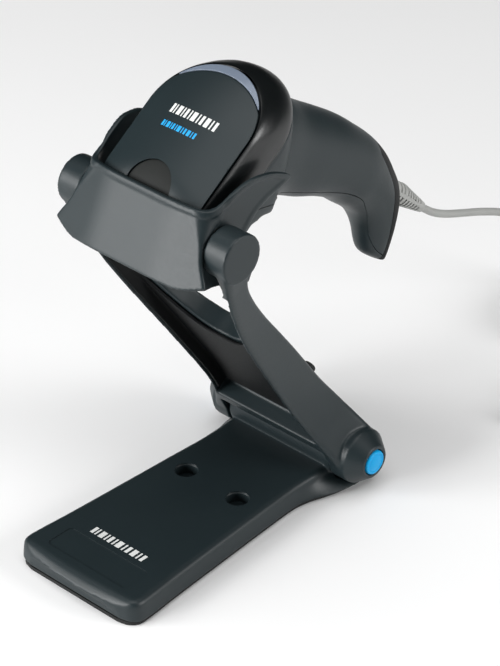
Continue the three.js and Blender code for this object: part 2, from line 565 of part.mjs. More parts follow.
// The panel's own outline stands just inside the bumper.
function panelOutline(grow) {
  const [half, centre] = [headHalf(0) - 0.5 + grow, headCentre(0)];
  return [[half, -90], ...arc(centre, half, 0, Math.PI, 18), [-half, -90]];
}

function makeNose() {
  const nose = headStack(BAND + GAP, -50, -PANEL - GAP).intersect(prism('x', HEAD_SIDE, -60, 60))
    .intersect(noseRoom()).intersect(block([-60, -60, NOSE_LOW], [60, 60, -10.3]));
  const opening = block([-21, -4, -40], [21, 17, 40]);
  const windowSeat = block([-22.4, -5.4, -15.8], [22.4, 18.4, 40]);
  part('nose_bezel', cut(nose, opening, windowSeat), 'black', gunGroup);
  part('scan_window', block([-22, -5, -15.5], [22, 18, -14]), 'lens', gunGroup);
}

function makeInside() {
  const chassis = cut(block([-15, -2, -4], [15, 15, 12]), rod('z', 4.8, -5, 6, [0, 7], 20));
  part('imager_chassis', chassis, 'black', gunGroup);
  part('imager_lens', rod('z', 4.4, -9, 4, [0, 7], 20), 'lens', gunGroup);
  part('sensor_board', block([-13, -3, 12.4], [13, 15, 13.8]), 'board', gunGroup);
  eachSide((name, sign) => {
    part(`light_${name}`, rod('z', 2.6, -8, -4.3, [sign * 10.5, 7], 16), 'lens', gunGroup);
  });
  part('indicator_board', panelPrism([[-13, 2], [13, 2], [13, 7], [-13, 7]], -5.4, -4.2), 'board', gunGroup);
  part('main_board', block([-10.5, 46, 28], [10.5, 118, 29.6]), 'board', gunGroup);
  part('beeper', rod('z', 5.5, 30, 34, [0, 100], 20), 'black', gunGroup);
  part('cable_socket', block([-5, 122, 16], [5, 136, 26]), 'black', gunGroup);
  [86, 106].forEach((y, k) => {
    part(`housing_screw_${k + 1}`, rod('z', 1.4, 17, 26, [0, y], 10), 'steel', gunGroup);
  });
}

function makeTrigger() {
  const side = [[31.4, 9], [32, 3], [35, -2.6], [40, -4.6], [47, -2], [55, 3.4], [61, 8], [64, 12],
    [63, 14.6], [36, 14.6], [32, 12.4]];
  const paddle = cut(prism('x', side, -6.6, 6.6), rod('x', 1.3, -20, 20, TRIGGER_PIN, 12));
  part('trigger', paddle, 'black', gunGroup);
  part('trigger_pin', rod('x', 1, -9.4, 9.4, TRIGGER_PIN, 10), 'steel', gunGroup);
  part('trigger_switch', block([-3, 49, 22.5], [3, 55, 27.7]), 'black', gunGroup);
  const turns = new THREE.CatmullRomCurve3(Array.from({ length: 41 }, (_, k) => {
    const angle = k * Math.PI / 4;
    return V(2.2 * Math.cos(angle), 60 + 2.2 * Math.sin(angle), 18 + k * 0.235);
  }));
  const wire = circleShape(0.35, 5);
  const spring = new THREE.ExtrudeGeometry(wire, { steps: 40, extrudePath: turns, bevelEnabled: false });
  part('trigger_spring', toManifold(spring), 'steel', gunGroup);
}

function circleShape(radius, count) {
  return new THREE.Shape(Array.from({ length: count }, (_, k) => new THREE.Vector2(
    radius * Math.cos(k * 2 * Math.PI / count), radius * Math.sin(k * 2 * Math.PI / count))));
}

// A round solid on the cable's exit axis, from [distance, radius] stations.
function alongRelief(stations, count) {
  const [c, s] = [Math.cos(RELIEF_DIP), Math.sin(RELIEF_DIP)];
  return loft(stations.map(([reach, radius]) => Array.from({ length: count }, (_, k) => {
    const angle = k * 2 * Math.PI / count;
    const [x, up] = [radius * Math.cos(angle), radius * Math.sin(angle)];
    return V(x, RELIEF_AT[0] + c * reach + s * up, RELIEF_AT[1] - s * reach + c * up);
  })));
}

// ---------------------------------------------------------------- cable, in the stand's frame
const CORD_RUN = [[0, 135.1, 89.8], [0, 143, 83.6], [0, 152, 78.6], [0, 164, 73.6], [0, 178, 68],
  [0, 193, 61], [0, 205, 53.6], [0.2, 215, 44.6], [0.8, 223, 34], [1.8, 229, 23], [3.2, 234, 12.6],
  [5.6, 239.4, 5.4], [10.8, 243.6, 3.4], [16.2, 248.1, 3.1]];
const CORD_TAIL = [[63.3, 208.4, 13.6], [63.8, 201, 10.2], [64.2, 193, 6.2], [64.4, 185, 4.8],
  [64.4, 180, 4.6]];
const PLUG_AT = [64.4, 179.7, 4.6];

function cordTube(points, steps) {
  const path = new THREE.CatmullRomCurve3(points.map((p) => V(...p)), false, 'centripetal');
  const shape = circleShape(CORD_D / 2, 8);
  return toManifold(new THREE.ExtrudeGeometry(shape, { steps, extrudePath: path, bevelEnabled: false }));
}

function makeCord() {
  const reliefSection = [[-16, 4.9], [-1.2, 4.9], [1.2, 5.2], [4, 4.8], [12, 3.7], [RELIEF_LONG, 2.5]];
  part('strain_relief', alongRelief(reliefSection, 16), 'cord', gunGroup);
  part('cable_run', cordTube(CORD_RUN, 34), 'cord');
  part('cable_tail', cordTube(CORD_TAIL, 6), 'cord');

  const half = COIL_COLUMNS * COIL_PITCH / 2 + 0.1;
  const [inner, outer] = [COIL_MEAN_R - half, COIL_MEAN_R + half];
  const top = COIL_LIFT + COIL_LAYERS * COIL_PITCH;
  const section = [[inner, COIL_LIFT], [outer, COIL_LIFT], [outer, top], [inner, top], [inner, COIL_LIFT]];
  const outline = section.map(([r, z]) => new THREE.Vector2(r, z));
  const ring = new THREE.LatheGeometry(outline, 36).rotateX(Math.PI / 2);
  part('cable_coil', place(ring, [...COIL_AT, 0]), 'cord');

  const strap = (grow, width) => block([-width, -outer - grow, COIL_LIFT - grow],
    [width, -inner + 1.2 + grow, top + grow]).translate([...COIL_AT, 0]);
  part('coil_tie', cut(strap(1.15, 4.5), strap(0.35, 6)), 'rubber');

  const [x, y, z] = PLUG_AT;
  part('plug_body', join(block([x - 7.5, y - 24, z - 4.2], [x + 7.5, y - 6, z + 4.2]),
    rod('y', 2.5, y - 7, y, [x, z], 16, 3.4)), 'cord');
  part('plug_shell', cut(block([x - 6, y - 43, z - 2.25], [x + 6, y - 24.3, z + 2.25]),
    block([x - 5.6, y - 50, z - 0.2], [x + 5.6, y - 30, z + 1.85])), 'steel');
}

makeBase();
makeHinge();
makeYoke();
makeCradle();
makeScanner();
makeCord();

export default scanner_on_stand;
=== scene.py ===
import json
import math

import bmesh
import bpy
from mathutils import Matrix, Vector


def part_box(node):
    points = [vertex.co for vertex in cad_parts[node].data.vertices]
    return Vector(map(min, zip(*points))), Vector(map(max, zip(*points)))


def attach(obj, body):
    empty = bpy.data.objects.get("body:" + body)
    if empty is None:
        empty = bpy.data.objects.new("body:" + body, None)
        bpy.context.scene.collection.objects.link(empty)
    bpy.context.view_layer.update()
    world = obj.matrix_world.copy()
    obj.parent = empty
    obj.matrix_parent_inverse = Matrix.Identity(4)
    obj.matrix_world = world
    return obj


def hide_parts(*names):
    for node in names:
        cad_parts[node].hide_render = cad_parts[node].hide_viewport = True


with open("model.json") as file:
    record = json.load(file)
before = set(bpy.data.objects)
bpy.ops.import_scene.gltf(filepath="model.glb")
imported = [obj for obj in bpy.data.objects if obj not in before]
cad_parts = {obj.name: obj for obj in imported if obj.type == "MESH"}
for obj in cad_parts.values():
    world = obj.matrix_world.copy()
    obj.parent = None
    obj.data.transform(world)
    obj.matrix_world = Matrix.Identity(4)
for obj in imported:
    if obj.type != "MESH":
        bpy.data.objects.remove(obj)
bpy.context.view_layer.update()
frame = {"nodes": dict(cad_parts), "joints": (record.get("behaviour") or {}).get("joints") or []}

# Shapes are drawn in millimetres, in the stand's frame, the yoke's frame or the scanner's frame, and are
# then put into the object's frame, in metres.
MM = 0.001
GAP = 0.3

# ---------------------------------------------------------------- frames
joints = {joint["name"]: joint for joint in frame["joints"]}
HINGE = Vector(joints["yoke_fold"]["pos_m"]) / MM
PIVOT = Vector(joints["cradle_tilt"]["pos_m"]) / MM
ARM = (PIVOT - HINGE).length


def local_frame(origin, up):
    across = Vector((1, 0, 0))
    up = Vector(up).normalized()
    turn = Matrix((across, up.cross(across), up)).transposed().to_4x4()
    return Matrix.Scale(MM, 4) @ Matrix.Translation(origin) @ turn


STAND = Matrix.Scale(MM, 4)
YOKE = local_frame(HINGE, PIVOT - HINGE)
GUN = local_frame(PIVOT, joints["scanner_lift"]["axis"])

# ---------------------------------------------------------------- camera
AZIMUTH, ELEVATION = math.radians(42.73), math.radians(33.83)
CAMERA_PLACE = Vector((0.7197, -0.7551, 0.7885))
back = Vector((math.sin(AZIMUTH) * math.cos(ELEVATION), -math.cos(AZIMUTH) * math.cos(ELEVATION),
               math.sin(ELEVATION)))
camera_data = bpy.data.cameras.new("camera")
camera_data.lens = 164.2
camera_data.sensor_width = 36
camera_data.clip_start = 0.05
camera = bpy.data.objects.new("camera", camera_data)
camera.location = CAMERA_PLACE
camera.rotation_euler = back.to_track_quat("Z", "Y").to_euler()
bpy.context.scene.collection.objects.link(camera)
bpy.context.scene.camera = camera


# ---------------------------------------------------------------- curves
def curve(pairs):
    """A smooth function through (station, value) pairs."""
    last = len(pairs) - 1

    def slope(i):
        low, high = max(i - 1, 0), min(i + 1, last)
        return (pairs[high][1] - pairs[low][1]) / (pairs[high][0] - pairs[low][0])

    def value(s):
        if s <= pairs[0][0]:
            return pairs[0][1]
        if s >= pairs[last][0]:
            return pairs[last][1]
        k = next(i for i, pair in enumerate(pairs) if pair[0] > s) - 1
        (x0, y0), (x1, y1) = pairs[k], pairs[k + 1]
        h = x1 - x0
        t = (s - x0) / h
        return (y0 * (1 + 2 * t) * (1 - t) ** 2 + y1 * t * t * (3 - 2 * t)
                + slope(k) * h * t * (1 - t) ** 2 - slope(k + 1) * h * t * t * (1 - t))
    return value


def spline(points, per=8, closed=False):
    """A smooth line through points, with per steps between neighbours."""
    points = [Vector(p) for p in points]
    count = len(points)
    line = []
    for i in range(count if closed else count - 1):
        p0, p1, p2, p3 = (points[(i + k) % count] if closed else points[min(max(i + k, 0), count - 1)]
                          for k in (-1, 0, 1, 2))
        for step in range(per):
            t = step / per
            line.append(0.5 * (2 * p1 + (p2 - p0) * t + (2 * p0 - 5 * p1 + 4 * p2 - p3) * t * t
                               + (3 * p1 - p0 - 3 * p2 + p3) * t ** 3))
    return line if closed else line + [points[-1]]


def arc(centre, radius, start, end, steps):
    """Points of an arc in a plane, between two angles in degrees."""
    angles = [math.radians(start + (end - start) * k / steps) for k in range(steps + 1)]
    return [(centre[0] + radius * math.cos(a), centre[1] + radius * math.sin(a)) for a in angles]


def spread(low, high, step):
    count = max(1, round((high - low) / step))
    return [low + (high - low) * k / count for k in range(count + 1)]


# ---------------------------------------------------------------- meshes
def mesh_object(name, vertices, faces):
    mesh = bpy.data.meshes.new(name)
    mesh.from_pydata([tuple(v) for v in vertices], [], faces)
    mesh.update()
    made = bpy.data.objects.new(name, mesh)
    bpy.context.scene.collection.objects.link(made)
    edit = bmesh.new()
    edit.from_mesh(mesh)
    bmesh.ops.recalc_face_normals(edit, faces=edit.faces)
    edit.to_mesh(mesh)
    edit.free()
    return made


def loft(rings, caps=True, name="loft"):
    """A skin through closed rings of equal length."""
    count = len(rings[0])
    faces = []
    for near in range(0, (len(rings) - 1) * count, count):
        far = near + count
        faces += [(near + i, near + (i + 1) % count, far + (i + 1) % count, far + i) for i in range(count)]
    if caps:
        faces += [tuple(range(count)), tuple(range((len(rings) - 1) * count, len(rings) * count))]
    return mesh_object(name, [p for ring in rings for p in ring], faces)


# A point from its two plane coordinates and its station along an axis.
PUT = {"x": lambda a, b, s: (s, a, b), "y": lambda a, b, s: (a, s, b), "z": lambda a, b, s: (a, b, s)}


def prism(axis, outline, low, high):
    """A prism: axis x takes (y, z) points, y takes (x, z) and z takes (x, y)."""
    return loft([[PUT[axis](a, b, s) for a, b in outline] for s in (low, high)], name="prism")


def rod(axis, radius, low, high, centre=(0, 0), sides=64, end_radius=None):
    """A round bar, or a cone with end_radius."""
    end_radius = radius if end_radius is None else end_radius
    rings = []
    for s, r in ((low, radius), (high, end_radius)):
        rings.append([PUT[axis](*p, s) for p in arc(centre, r, 0, 360 * (1 - 1 / sides), sides - 1)])
    return loft(rings, name="rod")


def block(low, high):
    (x0, y0, z0), (x1, y1, z1) = low, high
    return loft([[(x0, y0, z), (x1, y0, z), (x1, y1, z), (x0, y1, z)] for z in (z0, z1)], name="block")


def copy_of(thing):
    made = bpy.data.objects.new(thing.name, thing.data.copy())
    bpy.context.scene.collection.objects.link(made)
    return made


def discard(*things):
    for thing in things:
        mesh = thing.data
        bpy.data.objects.remove(thing)
        bpy.data.meshes.remove(mesh)


def bake(thing):
    """Turns an object's modifiers into its mesh."""
    mesh = bpy.data.meshes.new_from_object(thing.evaluated_get(bpy.context.evaluated_depsgraph_get()))
    old = thing.data
    thing.modifiers.clear()
    thing.data = mesh
    bpy.data.meshes.remove(old)
    return thing


def combine(thing, operation, others):
    for other in others:
        modifier = thing.modifiers.new(operation, "BOOLEAN")
        modifier.operation = operation
        modifier.solver = "MANIFOLD"
        modifier.object = other
        bake(thing)
        discard(other)
    return thing


def join(thing, *others):
    return combine(thing, "UNION", others)


def cut(thing, *others):
    return combine(thing, "DIFFERENCE", others)


def common(thing, *others):
    return combine(thing, "INTERSECT", others)


def soften(thing, voxel, rounds):
    """Rounds every edge: an even fine mesh, then some smoothing."""
    remesh = thing.modifiers.new("remesh", "REMESH")
    remesh.mode = "VOXEL"
    remesh.voxel_size = voxel
    bake(thing)
    smooth = thing.modifiers.new("smooth", "SMOOTH")
    smooth.factor = 0.5
    smooth.iterations = rounds
    return bake(thing)


def bevel(thing, width, segments=3, angle=35):
    modifier = thing.modifiers.new("bevel", "BEVEL")
    modifier.width = width
    modifier.segments = segments
    modifier.limit_method = "ANGLE"
    modifier.angle_limit = math.radians(angle)
    modifier.use_clamp_overlap = False
    return bake(thing)


def shade(thing, angle=40):
    mesh = thing.data
    mesh.polygons.foreach_set("use_smooth", [True] * len(mesh.polygons))
    mesh.set_sharp_from_angle(angle=math.radians(angle))


def finish(thing, name, body, material, replaced, place, angle=40):
    """Puts a drawn piece into the object's frame, and says which body, slot and CAD nodes it goes with."""
    thing.data.transform(place)
    thing.name = name
    thing.data.name = name
    shade(thing, angle)
    thing.data.materials.clear()
    thing.data.materials.append(material)
    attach(thing, body)
    if replaced:
        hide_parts(*replaced)
    return thing


# ---------------------------------------------------------------- materials
class Nodes:
    """A short way to write a material's nodes."""

    def __init__(self, name):
        self.material = bpy.data.materials.new(name)
        self.material.use_nodes = True
        self.tree = self.material.node_tree
        self.shader = self.tree.nodes["Principled BSDF"]
        self.where = self.add("ShaderNodeTexCoord").outputs["Object"]

    def add(self, kind, inputs=(), **settings):
        node = self.tree.nodes.new(kind)
        for key, value in settings.items():
            setattr(node, key, value)
        for key, value in dict(inputs).items():
            self.set(node, key, value)
        return node

    def set(self, node, key, value):
        if isinstance(value, bpy.types.NodeSocket):
            self.tree.links.new(value, node.inputs[key])
        else:
            node.inputs[key].default_value = value

    def noise(self, scale, detail=3, roughness=0.5):
        return self.add("ShaderNodeTexNoise", {"Vector": self.where, "Scale": scale, "Detail": detail,
                                               "Roughness": roughness}).outputs["Fac"]

    def ramp(self, value, low, high, start=0.3, end=0.7):
        """A colour between low and high, by value."""
        node = self.add("ShaderNodeValToRGB", {"Fac": value})
        for element, position, colour in zip(node.color_ramp.elements, (start, end), (low, high)):
            element.position, element.color = position, (*colour, 1)
        return node.outputs["Color"]

    def spans(self, value, low, high):
        """A number between low and high, as value goes from 0.3 to 0.7."""
        node = self.add("ShaderNodeMapRange", {"Value": value, "From Min": 0.3, "From Max": 0.7,
                                               "To Min": low, "To Max": high})
        return node.outputs["Result"]

    def bump(self, height, strength, distance):
        node = self.add("ShaderNodeBump", {"Height": height, "Strength": strength, "Distance": distance})
        self.set(self.shader, "Normal", node.outputs["Normal"])


def linear(*colour):
    """A colour given by its screen values, 0 to 255."""
    shares = [c / 255 for c in colour]
    return tuple(c / 12.92 if c < 0.04045 else ((c + 0.055) / 1.055) ** 2.4 for c in shares)


def plastic(name, colour, rough, grain=0.12, mottle=0.06, coat=0.0, sheen=0.5):
    """Moulded plastic: spark-eroded grain, faint mottling and a little variation in gloss."""
    nodes = Nodes(name)
    base = linear(*colour)
    slow = nodes.noise(60, 2)
    nodes.set(nodes.shader, "Base Color", nodes.ramp(slow, [c * (1 - mottle) for c in base],
                                                     [c * (1 + mottle) for c in base]))
    fine = nodes.noise(3400, 2, 0.6)
    nodes.set(nodes.shader, "Roughness", nodes.spans(nodes.noise(900, 2), rough - 0.015, rough + 0.02))
    nodes.shader.inputs["Specular IOR Level"].default_value = sheen
    nodes.shader.inputs["Coat Weight"].default_value = coat
    nodes.shader.inputs["Coat Roughness"].default_value = 0.2
    nodes.bump(fine, grain, 0.0001)
    return nodes.material


def metal(name, colour, rough):
    nodes = Nodes(name)
    nodes.shader.inputs["Metallic"].default_value = 1
    base = linear(*colour)
    nodes.set(nodes.shader, "Base Color", nodes.ramp(nodes.noise(300), [c * 0.9 for c in base], base))
    nodes.set(nodes.shader, "Roughness", nodes.spans(nodes.noise(1500), rough - 0.06, rough + 0.08))
    nodes.bump(nodes.noise(2500), 0.05, 0.00005)
    return nodes.material


def clear_lens(name, colour):
    """A light guide: bright, smooth and slightly cloudy."""
    nodes = Nodes(name)
    base = linear(*colour)
    nodes.set(nodes.shader, "Base Color", nodes.ramp(nodes.noise(120), [c * 0.93 for c in base], base))
    nodes.set(nodes.shader, "Roughness", nodes.spans(nodes.noise(500), 0.16, 0.24))
    nodes.shader.inputs["Subsurface Weight"].default_value = 0.2
    nodes.shader.inputs["Subsurface Radius"].default_value = (0.002, 0.002, 0.002)
    return nodes.material


def circuit_board(name):
    nodes = Nodes(name)
    green = nodes.ramp(nodes.noise(900, 1), linear(22, 74, 46), linear(38, 104, 66), 0.45, 0.55)
    nodes.set(nodes.shader, "Base Color", green)
    nodes.shader.inputs["Roughness"].default_value = 0.35
    return nodes.material


DARK = plastic("dark_plastic", (31, 41, 44), 0.41, grain=0.015, mottle=0.03, sheen=0.38)
WHITE = plastic("white_print", (226, 228, 226), 0.5, grain=0.0)
BLUE_PRINT = plastic("blue_print", (30, 165, 232), 0.5, grain=0.0)
# Black plastic for the black parts. The same colour also paints shade: the yoke's front recess and the slots
# of the cable relief are drawn in it so that they read dark.
BLACK_AND_SHADE = plastic("black_plastic", (12, 14, 15), 0.55, sheen=0.15)
TONGUE = plastic("tongue_plastic", (34, 36, 35), 0.6, sheen=0.2)
BAND = plastic("band_plastic", (18, 21, 22), 0.3, grain=0.03)
RUBBER = plastic("rubber", (22, 24, 24), 0.75, grain=0.25)
BLUE = plastic("blue_plastic", (14, 166, 228), 0.42, grain=0.04, sheen=0.25)
CORD = plastic("cable_jacket", (168, 169, 166), 0.48, grain=0.05)
STEEL = metal("steel", (190, 192, 194), 0.3)
IRON = metal("iron", (110, 110, 110), 0.5)
LENS = clear_lens("lens", (116, 127, 143))
BOARD = circuit_board("board")
WINDOW = plastic("window", (20, 6, 8), 0.08, grain=0.0, coat=0.5)

# ---------------------------------------------------------------- cable
CORD_D = 3.6
CORD_RUN = [(0, 135.1, 89.8), (0, 143, 83.6), (0, 152, 78.6), (0, 164, 73.6), (0, 178, 68), (0, 193, 61),
            (0, 205, 53.6), (0.2, 215, 44.6), (0.8, 223, 34), (1.8, 229, 23), (3.8, 233, 12.6),
            (7.4, 236.2, 5.8), (12.4, 239.8, 3.5)]
CORD_TAIL = [(63.3, 208.4, 13.6), (63.8, 201, 10.2), (64.2, 193, 6.2), (64.4, 185, 4.8), (64.4, 180, 4.6)]
COIL_AT = (36, 224)
COIL_MEAN_R = 23.4
COIL_COLUMNS = 3
COIL_LAYERS = 4
COIL_PITCH = 3.75
COIL_LIFT = 1.2


def coil_turns():
    """The coil's line: inwards on one layer and outwards on the next, with one short step for each turn.

    Each turn steps a little before the turn under or beside it, so that the turns never meet."""
    start, turns, steps = 129.4, COIL_COLUMNS * COIL_LAYERS, 340
    window, turn_lead, layer_lead = 0.13, 0.035, 0.11
    begins, place = [], 1 - window
    for turn in range(turns):
        begins.append(place)
        place -= layer_lead if turn % COIL_COLUMNS == COIL_COLUMNS - 1 else turn_lead
    line = []
    for step in range(steps + 1):
        n = (turns + start / 360) * step / steps
        turn = min(int(n), turns - 1)
        ease = max(0.0, min(1.0, (n - turn - begins[turn]) / window)) if turn < turns - 1 else 0.0
        ease = ease * ease * (3 - 2 * ease)
        layer, slot = divmod(turn, COIL_COLUMNS)
        inwards = layer % 2 == 0
        column = slot if inwards else COIL_COLUMNS - 1 - slot
        if slot == COIL_COLUMNS - 1:
            layer += ease
        else:
            column += ease if inwards else -ease
        radius = COIL_MEAN_R + (1 - column) * COIL_PITCH
        angle = math.radians(start - 360 * n)
        line.append((COIL_AT[0] + radius * math.cos(angle), COIL_AT[1] + radius * math.sin(angle),
                     COIL_LIFT + COIL_PITCH * (layer + 0.5)))
    return line


def make_cord():
    line = [Vector(p) for p in spline(CORD_RUN, 3)] + [Vector(p) for p in coil_turns()]
    line += [Vector(p) for p in spline(CORD_TAIL, 3)]
    data = bpy.data.curves.new("cable", "CURVE")
    data.dimensions = "3D"
    data.bevel_depth = CORD_D / 2 * MM
    data.bevel_resolution = 5
    data.use_fill_caps = True
    path = data.splines.new("POLY")
    path.points.add(len(line) - 1)
    for point, place in zip(path.points, line):
        point.co = (*(place * MM), 1)
    path.use_smooth = True
    cable = bpy.data.objects.new("cable", data)
    bpy.context.scene.collection.objects.link(cable)
    data.materials.append(CORD)
    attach(cable, "scanner")
    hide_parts("cable_run", "cable_coil", "cable_tail")
    length = sum((b - a).length for a, b in zip(line, line[1:])) * MM
    return cable, [p * MM for p in line], length


def make_plug():
    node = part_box("plug_body")
    x, top = (node[0].x + node[1].x) / 2 / MM, node[1].y / MM
    z = (node[0].z + node[1].z) / 2 / MM
    body = join(block((x - 7.5, top - 24, z - 4.2), (x + 7.5, top - 6.2, z + 4.2)),
                rod("y", 2.5, top - 7, top - 0.2, (x, z), 32, 3.2))
    grips = [block((edge - 0.5, top - 22 + 2 * k, z - 3), (edge + 0.5, top - 21 + 2 * k, z + 3))
             for edge in (x - 7.5, x + 7.5) for k in range(6)]
    body = soften(cut(body, *grips), 0.3, 4)
    finish(body, "plug_grip", "scanner", CORD, ["plug_body"], STAND)
    y = node[0].y / MM - GAP
    shell = cut(block((x - 6, y - 18.7, z - 2.25), (x + 6, y, z + 2.25)),
                block((x - 5.6, y - 26, z - 1.85), (x + 5.6, y - 5, z + 1.85)))
    windows = [block((middle - 1.1, y - 12, z - 4), (middle + 1.1, y - 9.8, z + 4))
               for middle in (x - 2.8, x + 2.8)]
    shell = bevel(cut(shell, *windows), 0.15, 2)
    tongue = block((x - 5.5, y - 17.5, z - 1.8), (x + 5.5, y - 4.6, z - 0.1))
    finish(shell, "plug_sleeve", "scanner", STEEL, ["plug_shell"], STAND)
    finish(bevel(tongue, 0.15, 2), "plug_tongue", "scanner", BLACK_AND_SHADE, [], STAND)
    return ["plug_grip", "plug_sleeve", "plug_tongue"]


def make_tie():
    half = COIL_COLUMNS * COIL_PITCH / 2
    top = COIL_LIFT + COIL_LAYERS * COIL_PITCH
    rings = []
    for width, lift in ((-4.5, 0), (-4.2, 0.12), (4.2, 0.12), (4.5, 0)):
        outline = []
        for sx, sz, start in ((1, 1, 0), (-1, 1, 90), (-1, -1, 180), (1, -1, 270)):
            corner = (sx * half, (COIL_LIFT + top) / 2 + sz * (top - COIL_LIFT) / 2)
            outline += arc(corner, 0.65 + lift, start, start + 90, 5)
        rings.append([(COIL_AT[0] + width, COIL_AT[1] - COIL_MEAN_R + a, b) for a, b in outline])
    strap = loft(rings, caps=False, name="tie")
    modifier = strap.modifiers.new("thick", "SOLIDIFY")
    modifier.thickness = 0.55
    modifier.offset = 1
    bake(strap)
    return finish(strap, "cable_tie", "scanner", RUBBER, ["coil_tie"], STAND)


# ---------------------------------------------------------------- stand base
SOLE, BASE_FLOOR, BASE_TOP = 1.6, 3.4, 11.4
BASE_FRONT, BASE_REAR = -85.5, 63
POCKET_FRONT, POCKET_REAR = -84, 60.9        # the room under the shell, which the closing plate fills
SHELL_WALL = 2.1
BARREL_R, BARREL_HALF = 12, 29.2
KNUCKLE_ROOM_R, KNUCKLE_ROOM_INNER = 13.2, 29.4
FIXING_X, FIXING_R, FIXING_HEAD_R, FIXING_SOLE_R = 15, 2.4, 5.2, 4.2
BASE_SCREW_R = 3
BASE_SCREWS = [(-22, -78), (22, -78), (-20, 30), (20, 30)]
base_half = curve([(BASE_FRONT, 26.4), (-84, 31), (-80, 34.2), (-72, 34.4), (-54, 33), (-22, 31), (5, 29.4),
                   (22, 28.8), (30, 30.4), (37, 33.4), (44, 36), (52, 37.4), (BASE_REAR, 37)])
base_top_half = curve([(BASE_FRONT, 25.8), (-84, 30.4), (-80, 33.4), (-72, 33.6), (-54, 32.2), (-22, 30.2),
                       (5, 28.7), (22, 27.8), (34, 28), (BASE_REAR, 29)])
base_height = curve([(BASE_FRONT, 8), (-82, BASE_TOP - 0.5), (-78, BASE_TOP), (54, BASE_TOP), (BASE_REAR, 9)])


def base_ring(y, low, inset):
    half, top, top_half = base_half(y) - inset, base_height(y) - inset, base_top_half(y) - inset
    bow = 2.4 * (y + 70) / (BASE_FRONT + 70) if y < -70 else 0
    radius = min(3.2, top - low - 0.5)
    side = [(half + (top_half - half) * k / 4, low + (top - radius - low) * k / 4) for k in range(4)]
    side += arc((top_half - radius, top - radius), radius, 0, 90, 8)
    side += [(top_half * k / 6, top) for k in (5, 4, 3, 2, 1)]
    outline = side + [(0, top)] + [(-a, b) for a, b in reversed(side)]
    return [(a, y + bow * (a / half) ** 2, b) for a, b in outline]


def base_loft(low, inset, front=BASE_FRONT, rear=BASE_REAR):
    return loft([base_ring(y, low, inset) for y in spread(front, -80, 0.6) + spread(-79, rear, 2)])


def knuckle_rooms():
    """The room for the yoke's two knuckles, beside the barrel."""
    hinge = (HINGE.y, HINGE.z)
    return [rod("x", KNUCKLE_ROOM_R, KNUCKLE_ROOM_INNER, 70, hinge, 96),
            rod("x", KNUCKLE_ROOM_R, -70, -KNUCKLE_ROOM_INNER, hinge, 96)]


def fixing_rods(radius):
    return [rod("z", radius, -9, 20, (x, 0)) for x in (FIXING_X, -FIXING_X)]


def above(level):
    return block((-60, -200, level), (60, 200, 90))


def below(level):
    return block((-60, -200, -50), (60, 200, level))


def make_base():
    skirt = SOLE + GAP
    shell = cut(base_loft(skirt, 0), *knuckle_rooms())
    shell = join(shell, rod("x", BARREL_R, -BARREL_HALF, BARREL_HALF, (HINGE.y, HINGE.z), 96))
    shell = soften(cut(shell, below(skirt)), 0.55, 5)
    rim = [(base_half(y) - SHELL_WALL, y) for y in spread(-82, POCKET_REAR, 2)]
    opening = prism("z", rim + [(-x, y) for x, y in reversed(rim)], skirt - 1, skirt + 0.1)
    pocket = cut(base_loft(skirt, SHELL_WALL, POCKET_FRONT, POCKET_REAR), above(BASE_FLOOR + GAP))
    shell = cut(shell, pocket, opening)
    for x in (-FIXING_X, FIXING_X):
        shell = cut(shell, rod("z", FIXING_R, -1, 20, (x, 0)), rod("z", FIXING_HEAD_R, 6.2, 20, (x, 0)),
                    rod("z", FIXING_HEAD_R, BASE_TOP - 0.9, BASE_TOP + 0.1, (x, 0), 64, FIXING_HEAD_R + 1))
    label = spline([(-23, -74.6), (-21.6, -76), (21.6, -76), (23, -74.6), (23, -63.1), (21.6, -61.7),
                    (-21.6, -61.7), (-23, -63.1)], 1, True)
    shell = cut(shell, prism("z", [tuple(p) for p in label], BASE_TOP - 0.3, BASE_TOP + 3))
    finish(shell, "base_shell", "stand_base", DARK, ["base_cover"], STAND, 32)

    plate = base_loft(skirt, SHELL_WALL + GAP, POCKET_FRONT + GAP, POCKET_REAR - GAP)
    plate = cut(plate, above(BASE_FLOOR), *knuckle_rooms(), *fixing_rods(FIXING_R))
    finish(plate, "base_closing_plate", "stand_base", BLACK_AND_SHADE, ["base_plate"], STAND)
    screws = [rod("z", BASE_SCREW_R, -9, 20, place) for place in BASE_SCREWS]
    sole = cut(base_loft(-2, 1), above(SOLE), below(0), *fixing_rods(FIXING_SOLE_R), *screws)
    finish(sole, "sole", "stand_base", RUBBER, ["sole_pad"], STAND)


# ---------------------------------------------------------------- yoke
yoke_front = curve([(0, -12.4), (6, -11.6), (20, -11.2), (36, -11.3), (72, -12.9), (115, -14.7), (140, -14),
                    (155, -12), (ARM, -10.6)])
yoke_back = curve([(0, 12.4), (6, 12), (26, 11), (48, 8.5), (76, 5.6), (95, 3.1), (115, 0.2), (134, -1.7),
                   (146, -1.2), (156, 3), (ARM, 6)])
yoke_half = curve([(-14, 38.5), (0, 38.5), (8, 36.4), (16, 33.2), (24, 30.4), (34, 28.7), (44, 28.3),
                   (56, 29), (72, 30.4), (93, 32.6), (115, 35.6), (136, 39.7), (150, 42.6), (158, 44.6),
                   (ARM, 45.8)])
ARM_INSIDE = [(0, 83), (4.5, 83.6), (8, 85), (12.4, 88), (17, 93.5), (20.6, 99), (25, 106), (28.7, 113),
              (31.4, 121), (33.2, 130), (35.4, 140), (37.6, 150), (39.6, 160), (40, ARM + 60)]
KNUCKLE_R = 12.6
BOSS_R, BOSS_INNER, BOSS_OUTER = 10.5, 34.6, 45.8
RECESS = 8.5
YOKE_WALL = 2.2
CAP_R = 5.6


